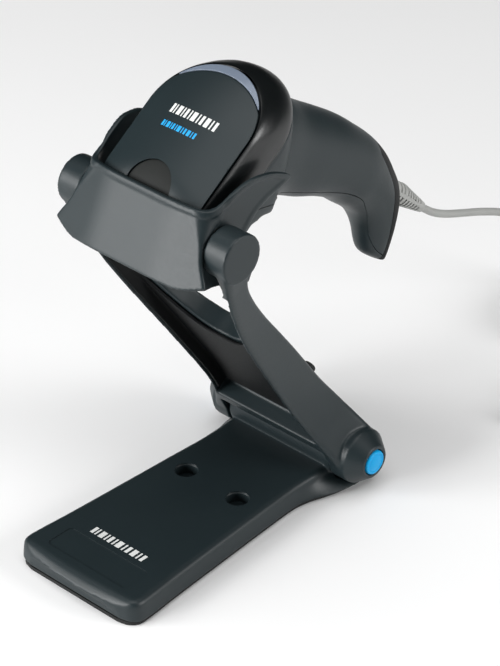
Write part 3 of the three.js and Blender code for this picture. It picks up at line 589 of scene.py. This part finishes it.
def yoke_ring(s):
    half, front, rear, r = yoke_half(s), yoke_front(s), yoke_back(s), YOKE_WALL
    right = (arc((half - r, rear - r), r, 90, 0, 6) + [(half, (front + rear) / 2)]
             + arc((half - r, front + r), r, 0, -90, 6))
    middle = [half - r - (half - r) * 2 * k / 12 for k in range(1, 12)]
    ring = right + [(x, front) for x in middle] + [(-x, y) for x, y in reversed(right)]
    ring += [(-x, rear) for x in middle]
    return [(x, y, s) for x, y in ring]


def arm_gap(grow):
    right = [tuple(p) for p in spline(ARM_INSIDE, 6)]
    outline = [(x + grow, s - grow) for x, s in right]
    outline += [(-x - grow, s - grow) for x, s in reversed(right[1:])]
    return prism("y", outline, -60, 60)


def trough(inset, top, deep, low, high):
    """The space in the yoke's front, between its side walls."""
    rings = []
    for s in spread(low, high, 3):
        half = yoke_half(s) - YOKE_WALL - inset
        rings.append([(-half, top(s), s), (-half, deep(s), s), (half, deep(s), s), (half, top(s), s)])
    return loft(rings)


def recess_floor(s):
    return yoke_front(s) + RECESS


def make_yoke():
    shell = loft([yoke_ring(s) for s in spread(0, ARM, 2.5)])
    shell = join(shell, rod("x", KNUCKLE_R, -38.5, 38.5, (0, 0), 96),
                 rod("x", KNUCKLE_R, 38.4, 45.2, (0, 0), 96, 7.4),
                 rod("x", 7.4, -45.2, -38.4, (0, 0), 96, KNUCKLE_R))
    shell = cut(shell, rod("x", 13.4, -29.7, 29.7, (0, 0), 96), block((-29.7, -60, -60), (29.7, 60, 14)),
                arm_gap(0), trough(0, lambda s: -40, recess_floor, 20, 150))
    for side in (1, -1):
        low, high = sorted((side * BOSS_INNER, side * BOSS_OUTER))
        shell = join(shell, rod("x", BOSS_R, low, high, (0, ARM), 96))
        low, high = sorted((side * 36.4, side * 60))
        shell = cut(shell, rod("x", CAP_R + 0.35, low, high, (0, 0), 96))
    shell = soften(shell, 0.6, 5)
    finish(shell, "yoke", "stand_yoke", DARK, ["yoke_shell"], YOKE, 50)

    # The front panel closes the yoke's hollow front. It is drawn black and also lines the recess's side
    # walls, as painted shade: the recess lies in shade.
    panel = trough(GAP, lambda s: yoke_front(s) + 1.2, lambda s: recess_floor(s) - GAP, 20.5, 140)
    hollow = trough(1.6, lambda s: -40, lambda s: recess_floor(s) - 1.8, 0, 160)
    panel = soften(cut(panel, hollow, arm_gap(1.4), block((-60, -60, 0), (60, 60, 25))), 0.4, 3)
    finish(panel, "yoke_front_shade_panel", "stand_yoke", BLACK_AND_SHADE, ["yoke_cover"], YOKE, 50)

    for name, side in (("right", 1), ("left", -1)):
        profile = [(5.55, 41.4), (5.6, 44.9), (5.3, 45.6), (4.7, 45.95), (4.25, 45.85), (4.0, 45.6),
                   (3.7, 45.75), (2.5, 46.05), (1.2, 46.2), (0.3, 46.2)]
        rings = [[(side * x, *p) for p in arc((0, 0), r, 0, 354, 59)] for r, x in profile]
        cap = loft(rings, name="cap")
        finish(cap, f"hinge_plug_{name}", "stand_yoke", BLUE, [f"hinge_cap_{name}"], YOKE,
               60)
        s = 50
        y = yoke_back(s)
        rings = [[(side * 22 + a, y + h, s + b) for a, b in arc((0, 0), r, 0, 350, 35)]
                 for r, h in ((3, 0.35), (3, 1.4), (2.8, 2), (2.3, 2.4), (1.4, 2.58), (0.3, 2.6))]
        finish(loft(rings), f"rear_stop_{name}", "stand_yoke", RUBBER, [f"rear_bumper_{name}"],
               YOKE, 60)


# ---------------------------------------------------------------- cradle
CUP_WALL, CUP_FRONT, CUP_BACK, CUP_LOW = 1.8, -15, 28.6, -19.5
CUP_REAR_CORNER = 4
cup_front_half = curve([(CUP_LOW, 43), (-13, 40.2), (-6, 36.4), (0, 34.8), (5, 34.1), (13, 33.7), (20, 33.5),
                        (28, 35.8), (36, 38.4)])
cup_side_half = curve([(CUP_LOW, 33.4), (14, 33.5), (21, 34.3), (28, 35.8), (36, 38.4)])
cup_corner = curve([(CUP_LOW, 1.4), (-6, 1.6), (0, 2.4), (6, 5.4), (13, 9), (36, 9)])


# The cup's side outline, as (y, z) points: the rim from the rear to the front, then what lies below it.
CUP_RIM = [(13.2, 6), (13.8, 9), (15.7, 15.2), (19, 21.6), (22.6, 26.4), (25.2, 30.6), (25.6, 32.4),
           (23.6, 33.4), (19, 33.8), (12.5, 33.3), (4, 30), (-2.5, 23.5), (-7, 17), (-11, 14), (-16, 13),
           (-24, 12.8)]
CUP_UNDER = [(-30, 12.6), (-30, -30), (-3, -30), (-2.6, CUP_LOW + 0.2), (4, -16.6), (14, -14.4),
             (40, -13.4), (40, -4), (17, -3.6), (13.4, -1), (13, 3)]
# The space under the cup's flared side, as (x, z) points. It is cut away on both sides.
FLARE_UNDER = [(27, -19.6), (32, -18.5), (36, -17), (44.5, -13), (60, -13), (60, -30), (27, -30)]


def sweep(x):
    """How far the front goes back, away from its flat middle."""
    return 0 if x < 12.5 else 0.0085 * (x - 12.5) ** 2 if x < 22.5 else 0.17 * (x - 17.5)


def cup_ring(z, inset, at=None):
    side = cup_side_half(z) - inset
    tip = side if inset > 0 else cup_front_half(z) - inset
    radius = max(cup_corner(z) - inset, 1.2)
    start = tip - radius
    y = CUP_FRONT + inset + sweep(start) + radius
    right = [(start * k / 14, CUP_FRONT + inset + sweep(start * k / 14)) for k in range(1, 14)]
    right += arc((start, y), radius, -90, 0, 10)
    right += [(side + 0.12 * (tip - side), y + 1.3), (side, y + 3), (side, 6), (side, 12), (side, 18)]
    rear = max(CUP_REAR_CORNER - inset, 0.8)
    right += arc((side - rear, CUP_BACK - inset - rear), rear, 0, 90, 7)
    ring = right + [(-x, y) for x, y in reversed(right)]
    return [(x, y, z if at is None else at) for x, y in ring]


def inwards(line, distance):
    """An open line moved to its left."""
    moved = []
    for i, point in enumerate(line):
        a, b = Vector(line[max(i - 1, 0)]), Vector(line[min(i + 1, len(line) - 1)])
        along = (b - a).normalized()
        moved.append((point[0] - along.y * distance, point[1] + along.x * distance))
    return moved


def make_cradle():
    inside = loft([cup_ring(z, CUP_WALL) for z in spread(CUP_LOW + CUP_WALL, 40, 1.5)])
    window = loft([cup_ring(CUP_LOW, 5.8, at) for at in (-25, -15)])
    rim = [(p.x, p.y) for p in spline([(y, z, 0) for y, z in CUP_RIM], 8)]
    side_view = prism("x", CUP_UNDER + rim, -60, 60)
    without_lip = prism("x", [(-31, 10)] + CUP_UNDER[1:-2] + [(15.4, -3.4)] + inwards(rim, 2.4), -61, 61)
    cup = loft([cup_ring(z, 0) for z in spread(CUP_LOW, 36, 1.5)])
    lip = loft([cup_ring(z, -0.55) for z in spread(CUP_LOW, 36, 1.5)])
    lip = cut(common(lip, copy_of(side_view)), without_lip)
    cup = cut(join(common(cup, side_view), lip), inside, window)
    for sign in (1, -1):
        cup = cut(cup, prism("y", [(x * sign, z) for x, z in FLARE_UNDER], -60, 60))
    cup = cut(cup, rod("x", BOSS_R + 0.4, BOSS_INNER - 0.5, 60, (0, 0), 96),
              rod("x", BOSS_R + 0.4, -60, -BOSS_INNER + 0.5, (0, 0), 96))
    finish(soften(cup, 0.4, 12), "cradle_cup", "stand_cradle", DARK, ["cradle"], GUN, 50)


# ---------------------------------------------------------------- scanner head
PANEL_TILT = math.radians(29)
PANEL_ORIGIN = (9, 46.2)
NOSE_FRONT, NOSE_LOW = -12.6, -17
NOSE_FLAT, NOSE_CORNER = 23, 7        # half width before the upright corners, and their radius
HEAD_FRONT = -86
BAND_THICK, BAND_DEEP = 2.6, 19
CROWN = 4.7
head_half = curve([(-50, 21), (-40, 24), (-30, 26), (-19, 27.6), (-9, 28.6), (-2.7, 28), (0, 26.8)])
head_centre = curve([(-50, -22), (-40, -12.4), (-30, -3), (-19, 2.8), (-9, -0.6), (-2.7, -4.8), (0, -6.3)])


def head_point(x, t, d):
    """A point of the head: across, along the panel towards the rear, and out of the panel."""
    c, s = math.cos(PANEL_TILT), math.sin(PANEL_TILT)
    return Vector((x, PANEL_ORIGIN[0] + s * t - c * d, PANEL_ORIGIN[1] + c * t + s * d))


def front_limit(x):
    """How far forward the nose reaches: a swept front with rounded upright corners."""
    beyond = max(0.0, min(abs(x) - NOSE_FLAT, NOSE_CORNER - 0.05))
    front = NOSE_FRONT + sweep(min(abs(x), NOSE_FLAT))
    return front + NOSE_CORNER - math.sqrt(NOSE_CORNER ** 2 - beyond * beyond)


def head_ring(d, inset):
    half, centre = head_half(d) - inset, head_centre(d)
    side = [(half, HEAD_FRONT + (centre - HEAD_FRONT) * k / 16) for k in range(16)]
    outline = side + arc((0, centre), half, 0, 180, 40) + [(-x, t) for x, t in reversed(side)]
    return [head_point(x, t, d) for x, t in outline]


def nose_room(low, inset=0):
    xs = [2 * k for k in range(1, 12)]
    xs += [NOSE_FLAT + NOSE_CORNER * math.sin(math.radians(9 * k)) for k in range(11)]
    right = [(x, front_limit(x) + inset) for x in xs] + [(30, 260)]
    return prism("z", right + [(-x, y) for x, y in reversed(right)], low, 120)


def make_band():
    """The bumper round the head: one section carried along the outline."""
    inner = head_half(0) - 0.5 + GAP
    section = [("x", inner + 0.12, -0.75), ("x", inner + 0.3, -0.45)]
    section += [("in", 0.05, -0.6), ("in", 0.0, -1.0)]
    section += [("in", 0, -d) for d in (1.6, 2.4, 3.4, 4.6, 6, 8, 10, 12, 14, 16)]
    section += [("in", 0, -17.6), ("in", 0.12, -18.4), ("in", 0.5, -18.9), ("in", 1.2, -19), ("in", 2.2, -19),
                ("in", 2.6, -18.6), ("in", 2.6, -12), ("in", 2.6, -7), ("in", 2.6, -3), ("x", inner, -2.6)]
    rings = []
    for kind, value, d in section:
        half = value if kind == "x" else head_half(d) - value
        centre = head_centre(d)
        c, s = math.cos(PANEL_TILT), math.sin(PANEL_TILT)
        front = (front_limit(half) - PANEL_ORIGIN[0] + c * d) / s
        low = (-9.6 - PANEL_ORIGIN[1] - s * d) / c
        front = max(front, low)
        side = [(half, front + (centre - front) * k / 30) for k in range(30)]
        outline = side + arc((0, centre), half, 0, 180, 72) + [(-x, t) for x, t in reversed(side)]
        rings.append([head_point(x, t, d) for x, t in outline])
    count, rows = len(rings[0]), len(rings)
    faces = [(r * count + i, r * count + i + 1, (r + 1) % rows * count + i + 1, (r + 1) % rows * count + i)
             for r in range(rows) for i in range(count - 1)]
    faces += [tuple(r * count for r in range(rows)), tuple(r * count + count - 1 for r in range(rows))]
    band = mesh_object("band", [p for ring in rings for p in ring], faces)
    finish(band, "head_bumper", "scanner", BAND, ["bumper_band"], GUN, 50)


def crown(x, t):
    """The panel's rise above its rim."""
    half, centre, middle = head_half(0), head_centre(0), -14
    along = t - middle
    share = abs(x) / half
    if along > 0 and (share < 1e-6 or along / max(share, 1e-6) > centre - middle):
        a, b = along * along + x * x, (centre - middle) * along
        root = math.sqrt(max(b * b - a * ((centre - middle) ** 2 - half * half), 0))
        share = a / (b + root)
    return CROWN * (1 - min(share, 1) ** 2)


def panel_column(x, rear, down=0.0, low=4):
    """The panel's line from its rear edge forward, then round into the nose's upright front."""
    c, s, bend = math.cos(PANEL_TILT), math.sin(PANEL_TILT), 7
    front_t = (front_limit(x) + down - PANEL_ORIGIN[0] + c * (crown(x, -38) - down)) / s
    line = [head_point(x, t, crown(x, t) - down)
            for t in (rear + (front_t + bend - rear) * k / 26 for k in range(27))]
    corner = head_point(x, front_t, crown(x, front_t) - down)
    under = Vector((x, corner.y, corner.z - bend))
    top = line[-1]
    for u in (k / 8 for k in range(1, 9)):
        line.append(top * (1 - u) ** 2 + corner * 2 * u * (1 - u) + under * u * u)
    line += [Vector((x, corner.y, under.z + (low - under.z) * k / 4)) for k in range(1, 5)]
    return line


def skin(columns, thick, edge):
    """A panel from a grid of points, thick on its underside and with rounded edges."""
    rows = len(columns[0])
    faces = [(c * rows + r, c * rows + r + 1, (c + 1) * rows + r + 1, (c + 1) * rows + r)
             for c in range(len(columns) - 1) for r in range(rows - 1)]
    made = mesh_object("skin", [p for column in columns for p in column], faces)
    if sum(p.normal.y for p in made.data.polygons) > 0:
        made.data.flip_normals()
    modifier = made.modifiers.new("thick", "SOLIDIFY")
    modifier.thickness = thick
    modifier.offset = -1
    bake(made)
    return bevel(made, edge, 3, 50)


NOTCH_R, NOTCH_TOP = 11, 23.4


def notch(grow):
    side = [(NOTCH_R + 3 + grow, 0), (NOTCH_R + 0.6 + grow, 8)]
    outline = side + arc((0, NOTCH_TOP - NOTCH_R), NOTCH_R + grow, 0, 180, 32)
    return prism("y", outline + [(-x, z) for x, z in reversed(side)], -60, 30)


def make_panel():
    edge = head_half(0) - 0.5
    rear_t, rear_r = -17.3, 33.2
    columns = []
    for k in range(65):
        x = edge * math.sin(math.pi / 2 * (k / 32 - 1)) * 0.9995
        rear = min(rear_t + math.sqrt(rear_r ** 2 - x * x), head_centre(0) + math.sqrt(edge ** 2 - x * x))
        columns.append(panel_column(x, rear))
    panel = cut(skin(columns, 1.6, 0.4), notch(GAP))
    finish(panel, "head_panel", "scanner", DARK, ["top_panel"], GUN, 45)

    columns = []
    for k in range(81):
        angle = math.radians(35 + 110 * k / 80)
        outer = Vector((edge * math.cos(angle), head_centre(0) + edge * math.sin(angle)))
        middle = Vector((0, rear_t))
        inner = middle + (outer - middle).normalized() * (rear_r + 0.25)
        columns.append([head_point(*(inner.lerp(outer, u)), crown(*inner.lerp(outer, u)) + 0.05)
                        for u in (j / 6 for j in range(7))])
    finish(skin(columns, 1.4, 0.15), "light_window", "scanner", LENS, ["indicator_lens"], GUN, 45)

    columns = [panel_column(x, -20, 0.9, 11.5) for x in spread(-16, 16, 0.5)]
    tongue = common(skin(columns, 0.9, 0.1), notch(0))
    finish(tongue, "nose_tongue", "scanner", TONGUE, ["nose_inset"], GUN, 50)


# ---------------------------------------------------------------- scanner handle
# The handle's back and front, as (y, z) points, and its half width, from the head to the butt.
HANDLE = [((30, 58), (30, 4), 20), ((46, 57.5), (44, 8), 18.6), ((61, 54.3), (60, 13.2), 16.6),
          ((78, 52.3), (77, 13.4), 16.1), ((93, 50.2), (89, 14.2), 15.8), ((106, 47), (101, 13.8), 15.5),
          ((117.5, 43.6), (111, 11.5), 15.1), ((129.2, 38.3), (119.2, 9.7), 13.7),
          ((139.2, 31.5), (126.4, 7.3), 12.2), ((147.8, 24.9), (132.3, 3.3), 10.6),
          ((153.8, 16.6), (137, -1.7), 9.1), ((157, 6.4), (140.4, -6.5), 8.1),
          ((158.7, -2.5), (144.2, -10.1), 6.9), ((159, -9.3), (150.3, -11.9), 5.7),
          ((158.8, -12.8), (155.8, -12.6), 4.3)]
# Side outlines, as (y, z) points, of the head, the housing's front half and the butt cap.
HEAD_SIDE = [(-20, NOSE_LOW), (22.2, NOSE_LOW), (24.2, -8), (25.4, 0), (29, 7), (36, 11), (62, 13), (62, 95),
             (-20, 95)]
UNDER_SIDE = [(16, -40), (16, 6), (20, 12), (34, 15.4), (60, 17.4), (80, 18.6), (102, 19.4), (114, 17.4),
              (122, 13.4), (130, 8), (136, 2), (141, -3.4), (147, -7.4), (154, -9.6), (200, -10.4),
              (200, -40)]
BUTT_INSIDE = [(116.5, 60), (119.5, 37), (128.8, 29.6), (137, 23), (142.8, 15.2), (147.8, 6), (151, -2.6),
               (152.8, -9.6), (154, -20), (220, -20), (220, 60)]
RELIEF_AT = (157.5, 17.2)
RELIEF_DIP = math.radians(14.5)
RELIEF_LONG = 21.5
SLOTS, SLOT_FIRST, SLOT_PITCH, SLOT_WIDE = 8, -5.5, 2.9, 1.3
SPINE_HALF = 0.8


def handle_loft():
    backs = spline([(*b, 0) for b, f, h in HANDLE], 5)
    fronts = spline([(*f, 0) for b, f, h in HANDLE], 5)
    halves = spline([(h, 0, 0) for b, f, h in HANDLE], 5)
    rings = []
    for rear, front, half in zip(backs, fronts, halves):
        chord = rear - front
        middle, reach = (rear + front) / 2, chord.length / 2
        unit = chord.normalized()
        ring = []
        for k in range(48):
            c, s = math.cos(math.pi * k / 24), math.sin(math.pi * k / 24)
            across = math.copysign(abs(c) ** 0.9, c) * half.x
            out = math.copysign(abs(s) ** 0.9, s) * reach
            ring.append((across, middle.x + unit.x * out, middle.y + unit.y * out))
        rings.append(ring)
    return loft(rings)


def along_relief(stations, sides=64):
    c, s = math.cos(RELIEF_DIP), math.sin(RELIEF_DIP)
    return loft([[(x, RELIEF_AT[0] + c * reach + s * up, RELIEF_AT[1] - s * reach + c * up)
                  for x, up in arc((0, 0), radius, 0, 360 * (1 - 1 / sides), sides - 1)]
                 for reach, radius in stations])


def head_stack(inset, low, high):
    return loft([head_ring(d, inset) for d in spread(low, high, 1.5)])


def make_housing():
    head = join(head_stack(0.4, -50, -BAND_DEEP - 0.35), head_stack(BAND_THICK + GAP, -BAND_DEEP - 1, -4))
    head = common(head, prism("x", HEAD_SIDE, -60, 60), nose_room(-60, 2.2))
    body = soften(join(head, handle_loft()), 0.8, 10)
    body = cut(body, along_relief([(-20, 5.4), (12, 5.4)]), block((-60, -60, -40), (60, 60, -10)))

    def under(grow):
        return prism("x", [(y + grow / 2, z - grow) for y, z in smooth_side(UNDER_SIDE)], -60, 60)

    def butt(grow):
        return prism("x", [(y - grow, z) for y, z in smooth_side(BUTT_INSIDE)], -60, 60)

    lower = cut(common(copy_of(body), under(0.35)), butt(0.35), block((-7.2, 30.4, -20), (7.2, 65, 24)))
    finish(lower, "grip_front", "scanner", DARK, ["housing_front"], GUN, 50)
    end = common(copy_of(body), butt(0))
    finish(end, "grip_end", "scanner", BLACK_AND_SHADE, ["butt_cap"], GUN, 50)
    upper = cut(body, under(0), butt(0.35))
    finish(upper, "grip_back", "scanner", DARK, ["housing_back"], GUN, 50)


def smooth_side(outline):
    """Rounds an outline's inner points, and keeps its first and last two as they are."""
    inner = spline([(*p, 0) for p in outline[2:-2]], 6)
    return [*outline[:2], *[(p.x, p.y) for p in inner], *outline[-2:]]


def make_trigger():
    outline = [(31.4, 9), (32, 3), (35, -2.6), (40, -4.6), (47, -2), (55, 3.4), (61, 8), (64, 12), (63, 14.6),
               (50, 14.6), (36, 14.6), (32, 12.4)]
    side = spline([(*p, 0) for p in outline], 4, True)
    paddle = soften(prism("x", [(p.x, p.y) for p in side], -6.6, 6.6), 0.35, 7)
    finish(paddle, "trigger_paddle", "trigger_lever", BLACK_AND_SHADE, ["trigger"], GUN, 50)


def make_nose():
    nose = common(head_stack(BAND_THICK + GAP, -50, -4), prism("x", HEAD_SIDE, -60, 60),
                  nose_room(NOSE_LOW), block((-60, -60, NOSE_LOW), (60, 60, -10.3)))
    nose = cut(nose, block((-21, -4, -40), (21, 17, 40)), block((-22.4, -5.4, -15.8), (22.4, 18.4, 40)))
    finish(bevel(nose, 0.3, 2), "nose_frame", "scanner", BLACK_AND_SHADE, ["nose_bezel"], GUN)
    pane = bevel(block((-22, -5, -15.5), (22, 18, -14)), 0.2, 2)
    finish(pane, "scan_pane", "scanner", WINDOW, ["scan_window"], GUN)


def make_relief():
    """A sleeve with a row of slots above and below its side spines, over a black rod that paints the shade in
    the slots.
    """
    sleeve = along_relief([(-10, 4.9), (-1.2, 4.9), (0, 5.2), (1.2, 5.2), (2.4, 4.95), (5, 4.6), (8, 4.2),
                           (12, 3.7), (16, 3.2), (20, 2.65), (RELIEF_LONG - 0.4, 2.5), (RELIEF_LONG, 2.2)])
    c, s = math.cos(RELIEF_DIP), math.sin(RELIEF_DIP)
    slots = []
    for k in range(SLOTS):
        reach = SLOT_FIRST + SLOT_PITCH * k
        for near, far in ((SPINE_HALF, 7), (-7, -SPINE_HALF)):
            corners = [(reach, near), (reach + SLOT_WIDE, near), (reach + SLOT_WIDE, far), (reach, far)]
            outline = [(RELIEF_AT[0] + c * a + s * b, RELIEF_AT[1] - s * a + c * b) for a, b in corners]
            slots.append(prism("x", outline, -9, 9))
    # Painted shade: a black rod inside the sleeve makes the slots read dark, where the real relief holds the
    # grey cable.
    slot_shade = along_relief([(-9, 2), (RELIEF_LONG - 0.5, 2)], 32)
    sleeve = bevel(cut(sleeve, *slots), 0.1, 2)
    finish(sleeve, "cable_relief", "scanner", CORD, ["strain_relief"], GUN)
    finish(slot_shade, "cable_relief_slot_shade", "scanner", BLACK_AND_SHADE, [], GUN)


# ---------------------------------------------------------------- printed marks
# Plain bars stand where the real object carries its printed marks: the start and width of each bar.
BARS = [(0, 1.6), (2.4, 0.8), (4.4, 2.4), (7.8, 0.8), (9.6, 1.6), (12.4, 0.8), (14.2, 2.6), (18, 0.8),
        (20, 1.6), (22.8, 2.4), (26.4, 0.8), (28.4, 1.6)]
BARS_HALF = 15
# On the panel: material, name, place along it, half height, scale, and shift to the right.
PANEL_MARKS = [(WHITE, "panel_bar", -6.4, 2.1, 0.8, 0.5), (BLUE_PRINT, "panel_line", -13.6, 1.3, 0.6, -2)]


def make_marks():
    for k, (start, width) in enumerate(BARS):
        x = -BARS_HALF + start
        bar = block((x, -58.6, BASE_TOP - 0.2), (x + width, -54.4, BASE_TOP + 0.12))
        finish(bar, f"base_bar_{k + 1}", "stand_base", WHITE, [], STAND)
    for look, name, middle, half, scale, shift in PANEL_MARKS:
        for k, (start, width) in enumerate(BARS):
            x = -BARS_HALF * scale + start * scale + shift
            columns = [[head_point(a, t, crown(a, t) + 0.06) for t in spread(middle + half, middle - half, 1)]
                       for a in spread(x, x + width * scale, 0.4)]
            finish(skin(columns, 0.12, 0.02), f"{name}_{k + 1}", "scanner", look, [], GUN)


# ---------------------------------------------------------------- the rest of the CAD nodes
def dress(material, *nodes):
    for node in nodes:
        thing = frame["nodes"][node]
        thing.data.materials.clear()
        thing.data.materials.append(material)


dress(STEEL, "hinge_pin", "hinge_nut", "hinge_washer", "hinge_disc_spring", "pivot_pin_left",
      "pivot_pin_right", "pivot_washer_left", "pivot_washer_right", "trigger_pin", "trigger_spring",
      "housing_screw_1", "housing_screw_2", "base_screw_1", "base_screw_2", "base_screw_3", "base_screw_4")
dress(IRON, "base_weight")
dress(BOARD, "main_board", "sensor_board", "indicator_board")
dress(BLACK_AND_SHADE, "imager_chassis", "beeper", "cable_socket", "trigger_switch")
dress(LENS, "imager_lens", "light_left", "light_right")

cable, cable_path, cable_length = make_cord()
plug_pieces = make_plug()
tie = make_tie()
make_base()
make_yoke()
make_cradle()
make_band()
make_panel()
make_housing()
make_trigger()
make_nose()
make_relief()
make_marks()


# ---------------------------------------------------------------- studio
def area_light(name, place, target, size, power, size_y=None):
    data = bpy.data.lights.new(name, "AREA")
    data.energy = power
    data.shape = "RECTANGLE"
    data.size, data.size_y = size, size_y or size
    light = bpy.data.objects.new(name, data)
    light.location = place
    light.rotation_euler = (Vector(place) - Vector(target)).to_track_quat("Z", "Y").to_euler()
    bpy.context.scene.collection.objects.link(light)


def make_studio():
    floor = mesh_object("floor", [(-3, -3, 0), (3, -3, 0), (3, 3, 0), (-3, 3, 0)], [(0, 1, 2, 3)])
    floor.location.z = -0.0002
    nodes = Nodes("floor")
    nodes.set(nodes.shader, "Base Color", nodes.ramp(nodes.noise(3), (0.93, 0.93, 0.93), (0.96, 0.96, 0.96)))
    nodes.shader.inputs["Roughness"].default_value = 0.9
    floor.data.materials.append(nodes.material)
    world = bpy.data.worlds.new("world")
    world.use_nodes = True
    world.node_tree.nodes["Background"].inputs["Color"].default_value = (1, 1, 1, 1)
    world.node_tree.nodes["Background"].inputs["Strength"].default_value = 0.56
    area_light("front", (-0.3, -1.25, 0.42), (0, -0.02, 0.12), 0.42, 12, 0.5)
    area_light("upper", (-0.8, -1.05, 0.58), (0, 0, 0.15), 0.5, 11, 0.7)
    area_light("top", (0.1, -0.1, 2.0), (0, 0, 0), 2.0, 28)
    area_light("side", (1.1, 0.5, 0.5), (0, 0, 0.12), 0.5, 8)
    bpy.context.scene.view_settings.view_transform = "Standard"


make_studio()
